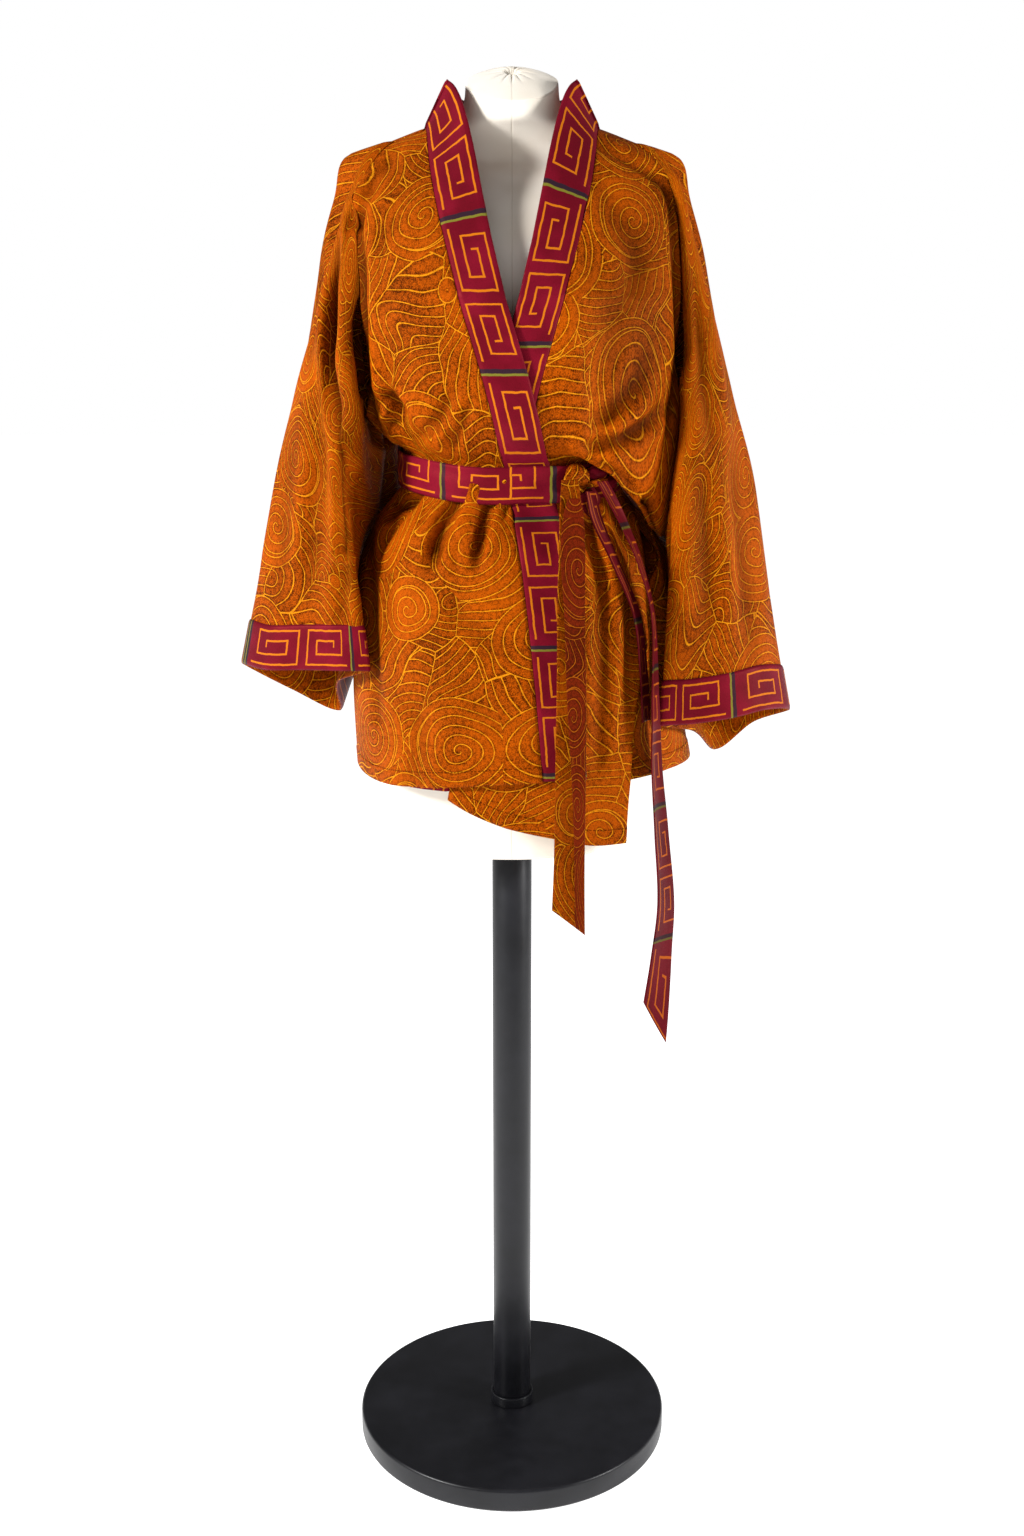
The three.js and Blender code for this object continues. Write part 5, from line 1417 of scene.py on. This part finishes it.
def swirl_group() -> NodeTree:
    """Thin drawn lines: spirals with bundles of bowed and pointed lines between them."""
    tree, web, given, made = new_group(
        "swirl_lines", (("Vector", "NodeSocketVector", None),),
        (("Lines", "NodeSocketFloat"), ("Beside", "NodeSocketFloat"), ("Field", "NodeSocketFloat")))
    source = given.outputs["Vector"]
    # metres on the flat cloth
    gap, spiral_room, patch_size = 0.0098, 0.108, (0.062, 0.082, 0.0)

    def sway(scale: float, reach: float) -> NodeSocket:
        """A soft push of the pattern."""
        drift = web.noise(source, scale, 1.0)
        return web.vector("MULTIPLY", web.vector("SUBTRACT", drift.outputs["Color"], MID_NOISE),
                          (reach, reach, 0.0))

    def cells(spot: object, feature: str, scale: float, spread: float) -> Node:
        """A flat cell pattern."""
        node = web.add("ShaderNodeTexVoronoi", voronoi_dimensions="2D", feature=feature)
        web.feed(node.inputs["Vector"], spot)
        node.inputs["Scale"].default_value = scale
        node.inputs["Randomness"].default_value = spread
        return node

    def drawn(phase: object, pitch: float) -> NodeSocket:
        """Distance to the nearest of evenly spaced lines."""
        share = web.math("FRACT", web.math("ADD", phase, 0.5))
        return web.math("MULTIPLY", web.math("ABSOLUTE", web.math("SUBTRACT", share, 0.5)), pitch)

    def chances(node: Node) -> list[NodeSocket]:
        """Three chance numbers of a cell."""
        parts = web.add("ShaderNodeSeparateColor")
        web.feed(parts.inputs[0], node.outputs["Color"])
        return parts.outputs

    broad, fine = sway(8.0, 0.078), sway(22.0, 0.011)
    calm = web.vector("ADD", source, web.vector("ADD", web.vector("MULTIPLY", broad, (0.25, 0.25, 0.0)),
                                                web.vector("MULTIPLY", fine, (0.5, 0.5, 0.0))))
    wild = web.vector("ADD", source, web.vector("ADD", broad, fine))

    eye = cells(calm, "F1", 1 / spiral_room, 0.62)
    eye_chance = chances(eye)
    away = web.vector("SUBTRACT", calm, eye.outputs["Position"])
    radius = web.vector("LENGTH", away)
    parts = web.split(away)
    turn = web.math("MULTIPLY", web.math("ARCTAN2", parts[1], parts[0]), 1 / (2 * math.pi))
    hand = web.math("MULTIPLY_ADD", web.math("GREATER_THAN", eye_chance[1], 0.5), 2.0, -1.0)
    wound = web.math("SUBTRACT", web.math("DIVIDE", radius, gap), web.math("MULTIPLY", turn, hand))
    spiral = drawn(wound, gap)
    has_disc = web.math("LESS_THAN", eye_chance[2], 0.9)
    disc = web.math("MULTIPLY", web.number(eye_chance[0], 0.023, 0.047), has_disc)
    rim = web.math("ADD", disc, gap)
    rings = web.math("MINIMUM", web.math("ABSOLUTE", web.math("SUBTRACT", radius, disc)),
                     web.math("ABSOLUTE", web.math("SUBTRACT", radius, rim)))

    stretched = web.vector("MULTIPLY", wild, (1 / patch_size[0], 1 / patch_size[1], 0.0))
    patch = cells(stretched, "F1", 1.0, 0.9)
    border = web.math("MULTIPLY", cells(stretched, "DISTANCE_TO_EDGE", 1.0, 0.9).outputs["Distance"], 0.07)
    patch_chance = chances(patch)
    offset = web.split(web.vector("MULTIPLY", web.vector("SUBTRACT", stretched, patch.outputs["Position"]),
                                  patch_size))
    heading = web.math("MULTIPLY", patch_chance[0], 2 * math.pi)
    cosine, sine = web.math("COSINE", heading), web.math("SINE", heading)
    ahead = web.math("ADD", web.math("MULTIPLY", offset[0], cosine), web.math("MULTIPLY", offset[1], sine))
    aside = web.math("SUBTRACT", web.math("MULTIPLY", offset[1], cosine),
                     web.math("MULTIPLY", offset[0], sine))
    tip = web.math("SQRT", web.math("MULTIPLY_ADD", ahead, ahead, 0.00012))
    pointed = web.math("MULTIPLY_ADD", tip, 1.1, aside)
    reach = web.math("ADD", ahead, web.number(patch_chance[2], 0.03, 0.09))
    bowed = web.math("SQRT", web.math("ADD", web.math("MULTIPLY", reach, reach),
                                      web.math("MULTIPLY", aside, aside)))
    across = web.number(web.math("GREATER_THAN", patch_chance[1], 0.3), web.math("MULTIPLY", pointed, 0.7),
                        bowed)
    bundle = web.math("MINIMUM", drawn(web.math("DIVIDE", across, gap), gap), border)

    outside = web.math("GREATER_THAN", radius, rim)
    halo = web.math("GREATER_THAN", radius, disc)
    nearest = web.number(outside, web.math("MAXIMUM", spiral, halo), bundle)
    nearest = web.math("MINIMUM", nearest, rings)
    hold = web.noise(source, 160.0, 1.0)
    width = web.math("MULTIPLY_ADD", hold.outputs[0], 0.0006, -0.00002)
    over = web.math("SUBTRACT", nearest, width)
    web.feed(made.inputs["Lines"], web.span(over, -0.0001, 0.00045, 0.86, 0.0))
    # Beside: 1 next to a line, 0 some 3 mm off; the cloth uses it to dip the weave along the lines and to
    # paint shade into that dip.
    web.feed(made.inputs["Beside"], web.span(nearest, 0.0004, 0.0034, 1.0, 0.0))
    web.feed(made.inputs["Field"], web.number(outside, 1.0, patch_chance[2]))
    return tree


def bar_group() -> NodeTree:
    """Signed distance to an upright bar, from its middle and half sizes."""
    tree, web, given, made = new_group(
        "bar_distance", (("Point", "NodeSocketVector", None), ("Middle", "NodeSocketVector", None),
                         ("Half", "NodeSocketVector", None)), (("Distance", "NodeSocketFloat"),))
    away = web.vector("SUBTRACT", given.outputs["Point"], given.outputs["Middle"])
    parts = web.split(web.vector("SUBTRACT", web.vector("ABSOLUTE", away), given.outputs["Half"]))
    web.feed(made.inputs["Distance"], web.math("MAXIMUM", parts[0], parts[1]))
    return tree


HALF_MM = MM / 2
# Strokes of one square spiral in its field, mm: from x, y to x, y.
KEY_STROKES = ((4, 6, 61, 6), (61, 6, 61, 40), (61, 40, 11, 40), (11, 40, 11, 16.5), (11, 16.5, 49, 16.5),
               (49, 16.5, 49, 30), (49, 30, 24, 30), (24, 30, 24, 24.5))


def key_group() -> NodeTree:
    """Band pattern: square spirals in pairs, face to face, between dividing stripes."""
    tree, web, given, made = new_group(
        "key_pattern", (("Vector", "NodeSocketVector", None),),
        (("Lines", "NodeSocketFloat"), ("Light Stripe", "NodeSocketFloat"),
         ("Dark Stripe", "NodeSocketFloat")))
    bar = bar_group()
    period, head, field_width, half_line = 0.148, 0.014, 0.067, 0.0009
    wobble = web.noise(given.outputs["Vector"], 110.0, 1.0)
    push = web.vector("SUBTRACT", wobble.outputs["Color"], MID_NOISE)
    shaken = web.vector("ADD", given.outputs["Vector"], web.vector("MULTIPLY", push, (0.0016, 0.0016, 0.0)))
    parts = web.split(shaken)
    along = web.math("MODULO", web.math("ADD", parts[0], 20 * period), period)
    inside = web.math("SUBTRACT", along, head)
    fold = web.math("SUBTRACT", field_width, web.math("ABSOLUTE", web.math("SUBTRACT", inside, field_width)))
    point = web.add("ShaderNodeCombineXYZ")
    web.feed(point.inputs[0], fold)
    web.feed(point.inputs[1], parts[1])
    nearest: object = 1.0
    for x0, y0, x1, y1 in KEY_STROKES:
        middle = (HALF_MM * (x0 + x1), HALF_MM * (y0 + y1), 0.0)
        half = (HALF_MM * abs(x1 - x0) + half_line, HALF_MM * abs(y1 - y0) + half_line, 1.0)
        stroke = web.group(bar, Point=point.outputs[0], Middle=middle, Half=half)
        nearest = web.math("MINIMUM", nearest, stroke.outputs[0])
    web.feed(made.inputs["Lines"], web.span(nearest, -0.00025, 0.00035, 1.0, 0.0))
    for name, middle, half in (("Light Stripe", 0.0045, 0.0011), ("Dark Stripe", 0.0078, 0.0021)):
        stripe = web.math("ABSOLUTE", web.math("SUBTRACT", along, middle))
        web.feed(made.inputs[name], web.span(stripe, half - 0.0003, half + 0.0004, 1.0, 0.0))
    return tree


@dataclass(frozen=True)
class SwirlCloth:
    """Orange satin jacquard with thin golden swirls."""

    name: str = "swirl_cloth"
    ground: str = "A54703"
    shade: str = "3C1200"
    line: str = "D68610"
    thread: str = "3E1600"
    # deep: painted shade colour for creased cloth and for belt ends in shadow.
    deep: str = "300C00"
    stitch_height: float = 0.0165
    stitches_per_metre: float = 300.0
    gloss: float = 0.14
    glint: str = "FF8A10"

    def material(self, grain: NodeTree) -> Material:
        """Build the material.

        Args:
            grain: the shared grain group.

        Returns:
            The material.
        """
        material, web, shader = new_material(self.name)
        flat = web.add("ShaderNodeUVMap", uv_map="cloth").outputs[0]
        swirl = web.group(swirl_group(), Vector=flat)
        weave = web.group(grain, Vector=flat, Size=1.0)
        broad = web.noise(flat, 12.0, 3.0)
        tone = web.math("MULTIPLY_ADD", swirl.outputs["Field"], 0.22,
                        web.math("MULTIPLY", web.span(broad.outputs[0], 0.3, 0.7), 0.4))
        # Painted shade: the ground darkens beside the lines, in the dip of the weave there.
        tone = web.math("MULTIPLY_ADD", swirl.outputs["Beside"], -0.36, web.math("ADD", tone, 0.3))
        grained = web.math("ADD", tone, web.span(weave.outputs["Tone"], 0.4, 0.6, -0.38, 0.38))
        ground = web.blend(grained, linear(self.shade), linear(self.ground))
        line = web.math("MULTIPLY", swirl.outputs["Lines"],
                        web.span(weave.outputs["Tone"], 0.35, 0.55, 0.55, 1.0))
        colour = web.blend(line, ground, linear(self.line))
        off_stitch = web.math("ABSOLUTE", web.math("SUBTRACT", web.attribute("hem"), self.stitch_height))
        stitch = web.span(off_stitch, 0.0004, 0.0009, 1.0, 0.0)
        along = web.math("MULTIPLY", web.split(flat)[0], self.stitches_per_metre)
        stitched = web.math("MULTIPLY", stitch, web.math("GREATER_THAN", web.math("FRACT", along), 0.3))
        # Painted shade: darker towards the deep colour in creases and on belt ends in shadow.
        colour = web.blend(web.math("MULTIPLY", web.attribute("painted_shade"), 0.85), colour, linear(self.deep))
        colour = web.blend(web.math("MULTIPLY", stitched, 0.7), colour, linear(self.thread))
        roughness = web.span(weave.outputs["Tone"], 0.3, 0.7, 0.74, 0.62)
        web.coat(shader, colour, roughness, self.gloss, self.glint)
        height = web.math("ADD", web.math("MULTIPLY", weave.outputs["Height"], 0.55),
                          web.math("MULTIPLY", swirl.outputs["Beside"], -0.6))
        height = web.math("SUBTRACT", height, web.math("MULTIPLY", stitched, 1.2))
        web.bump(shader, height, 0.5, 0.0006)
        return material


@dataclass(frozen=True)
class KeyBand:
    """Burgundy satin with orange square spirals and dividing stripes."""

    name: str = "key_band"
    ground: str = "5C0A18"
    sheen: str = "720F22"
    line: str = "C06A0E"
    light_stripe: str = "6C6A24"
    dark_stripe: str = "281C26"
    deep: str = "2E040A"
    gloss: float = 0.16
    glint: str = "FF5A48"

    def material(self, grain: NodeTree) -> Material:
        """Build the material.

        Args:
            grain: the shared grain group.

        Returns:
            The material.
        """
        material, web, shader = new_material(self.name)
        flat = web.add("ShaderNodeUVMap", uv_map="cloth").outputs[0]
        keys = web.group(key_group(), Vector=flat)
        weave = web.group(grain, Vector=flat, Size=1.3)
        patch = web.noise(flat, 22.0, 2.0)
        ground = web.blend(web.span(patch.outputs[0], 0.35, 0.7), linear(self.ground), linear(self.sheen))
        ground = web.blend(web.span(weave.outputs["Tone"], 0.55, 0.3, 0.0, 0.3), ground, linear(self.deep))
        colour = web.blend(web.math("MULTIPLY", keys.outputs["Lines"], 0.92), ground, linear(self.line))
        colour = web.blend(keys.outputs["Dark Stripe"], colour, linear(self.dark_stripe))
        colour = web.blend(keys.outputs["Light Stripe"], colour, linear(self.light_stripe))
        roughness = web.span(weave.outputs["Tone"], 0.3, 0.7, 0.5, 0.4)
        web.coat(shader, colour, roughness, self.gloss, self.glint)
        height = web.math("ADD", weave.outputs["Height"], web.math("MULTIPLY", keys.outputs["Lines"], 0.6))
        web.bump(shader, height, 0.25, 0.0004)
        return material


@dataclass(frozen=True)
class Jersey:
    """Cream jersey drawn over the padded form."""

    light: str = "EFE8DC"
    dark: str = "E0D6C6"
    seam: str = "B9AC98"
    roughness: float = 0.85
    gloss: float = 0.25
    sheen: float = 0.2

    def material(self, grain: NodeTree) -> Material:
        """Build the material.

        Args:
            grain: the shared grain group.

        Returns:
            The material.
        """
        material, web, shader = new_material("cream_jersey")
        place = web.add("ShaderNodeTexCoord").outputs["Object"]
        weave = web.group(grain, Vector=place, Size=0.9)
        seam = web.math("ABSOLUTE", web.split(place)[0])
        fine = web.noise(place, 14.0, 2.0)
        colour = web.blend(web.span(fine.outputs[0], 0.3, 0.7), linear(self.dark), linear(self.light))
        colour = web.blend(web.span(seam, 0.0002, 0.0009, 0.35, 0.0), colour, linear(self.seam))
        web.coat(shader, colour, self.roughness, self.gloss)
        groove = web.span(seam, 0.0003, 0.0014, -2.5, 0.0)
        web.bump(shader, web.math("ADD", weave.outputs["Height"], groove), 0.25, 0.0004)
        shader.inputs["Sheen Weight"].default_value = self.sheen
        return material


@dataclass(frozen=True)
class BlackSteel:
    """Black powder coat with a satin sheen and a fine grain."""

    coat: str = "0F0F12"
    light: str = "19191D"
    gloss: float = 0.27

    def material(self) -> Material:
        """Build the material."""
        material, web, shader = new_material("black_powder_coat")
        place = web.add("ShaderNodeTexCoord").outputs["Object"]
        grit = web.noise(place, 1400.0, 1.0)
        haze = web.noise(place, 18.0, 3.0, 0.6)
        colour = web.blend(web.span(haze.outputs[0], 0.3, 0.75), linear(self.coat), linear(self.light))
        web.coat(shader, colour, web.span(haze.outputs[0], 0.3, 0.7, 0.33, 0.4), self.gloss)
        web.bump(shader, grit.outputs[0], 0.18, 0.0003)
        return material


# --- studio
@dataclass(frozen=True)
class Lamp:
    """A soft square light; place, aim and side in metres, power in watts."""

    name: str
    place: tuple[float, float, float]
    aim: tuple[float, float, float]
    size: float
    power: float


@dataclass
class Studio:
    """Camera, soft light and a plain pale floor."""

    camera_place: tuple[float, float, float] = (0.0, -1.929, 1.268)
    pitch: float = 13.0
    lens: float = 41.13
    sensor: float = 36.0
    sky: float = 0.18
    floor_glow: float = 0.86
    floor_drop: float = 0.0005
    lamps: tuple[Lamp, ...] = (
        Lamp("key", (-2.75, -1.6, 2.3), (0.0, 0.0, 1.1), 0.6, 182.0),
        Lamp("fill", (2.6, -0.9, 1.4), (0.25, 0.0, 1.05), 0.5, 72.0))

    def camera(self) -> None:
        """Place the camera and make it the scene's."""
        data = bpy.data.cameras.new("camera")
        data.sensor_fit = "VERTICAL"
        data.sensor_height = self.sensor
        data.lens = self.lens
        eye = bpy.data.objects.new("camera", data)
        eye.location = self.camera_place
        eye.rotation_euler = (math.radians(90 - self.pitch), 0.0, 0.0)
        bpy.context.scene.collection.objects.link(eye)
        bpy.context.scene.camera = eye

    def light(self, lamp: Lamp) -> None:
        """Hang a lamp, turned to its aim."""
        data = bpy.data.lights.new(lamp.name, "AREA")
        data.size = lamp.size
        data.energy = lamp.power
        light = bpy.data.objects.new(lamp.name, data)
        light.location = lamp.place
        way = Vector(lamp.aim) - Vector(lamp.place)
        light.rotation_euler = way.to_track_quat("-Z", "Y").to_euler()
        bpy.context.scene.collection.objects.link(light)

    def floor(self) -> None:
        """Lay the pale floor."""
        bm = bmesh.new()
        bmesh.ops.create_grid(bm, x_segments=8, y_segments=8, size=30.0)
        mesh = bpy.data.meshes.new("floor")
        bm.to_mesh(mesh)
        bm.free()
        piece = link(mesh, "floor")
        piece.location.z = -self.floor_drop
        material, _web, shader = new_material("pale_floor")
        shader.inputs["Base Color"].default_value = (0.9, 0.9, 0.9, 1.0)
        shader.inputs["Roughness"].default_value = 0.9
        shader.inputs["Specular IOR Level"].default_value = 0.1
        shader.inputs["Emission Color"].default_value = (1.0, 1.0, 1.0, 1.0)
        shader.inputs["Emission Strength"].default_value = self.floor_glow
        mesh.materials.append(material)

    def sky_light(self) -> None:
        """Even white light from all round; the backdrop itself shows white."""
        world = bpy.data.worlds.new("studio")
        world.use_nodes = True
        bpy.context.scene.world = world
        web = Web(world.node_tree)
        ground = next(n for n in world.node_tree.nodes if n.type == "BACKGROUND")
        seen = web.add("ShaderNodeLightPath").outputs["Is Camera Ray"]
        ground.inputs["Color"].default_value = (1.0, 1.0, 1.0, 1.0)
        web.feed(ground.inputs["Strength"], web.number(seen, self.sky, 1.0))

    def build(self) -> None:
        """Build the studio."""
        self.camera()
        self.floor()
        self.sky_light()
        for lamp in self.lamps:
            self.light(lamp)
        view = bpy.context.scene.view_settings
        view.view_transform = "Standard"
        view.look = "None"


def main() -> None:
    """Build every sub-assembly in order."""
    logging.basicConfig(level=logging.INFO, format="%(name)s: %(message)s")
    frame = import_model()
    LOG.info("%d nodes in the frame", len(frame["nodes"]))
    Studio().build()
    grain = grain_group()
    swirl, band, shaded_band, shaded_cloth = (cloth.material(grain) for cloth in (
        SwirlCloth(), KeyBand(),
        # Darker copies of the band and the main cloth: painted shade for belt parts in shadow.
        KeyBand("key_band_shaded", "48080F", "5A0C18", "A04E0E", "4A4618", "1C1218", "220308"),
        SwirlCloth("swirl_cloth_shaded", "7A220A", "340A04", "B8600F", "2A0802", "240400")))
    surface, seams = GarmentSurface(), Seams()
    DressForm(Jersey().material(grain)).build()
    Stand(BlackSteel().material()).build()
    KimonoBody(surface, seams, swirl).build()
    FrontBands(surface, seams, band).build()
    for side, rows, creases in ((Side.RIGHT, RIGHT_SLEEVE, RIGHT_SLEEVE_CREASES),
                                (Side.LEFT, LEFT_SLEEVE, LEFT_SLEEVE_CREASES)):
        Sleeve(side, table(SLEEVE_COLUMNS, rows, 1.0), surface, seams, swirl, band, creases).build()
    Belt(surface, swirl, band, shaded_band, shaded_cloth).build()


if __name__ == "__main__":
    main()
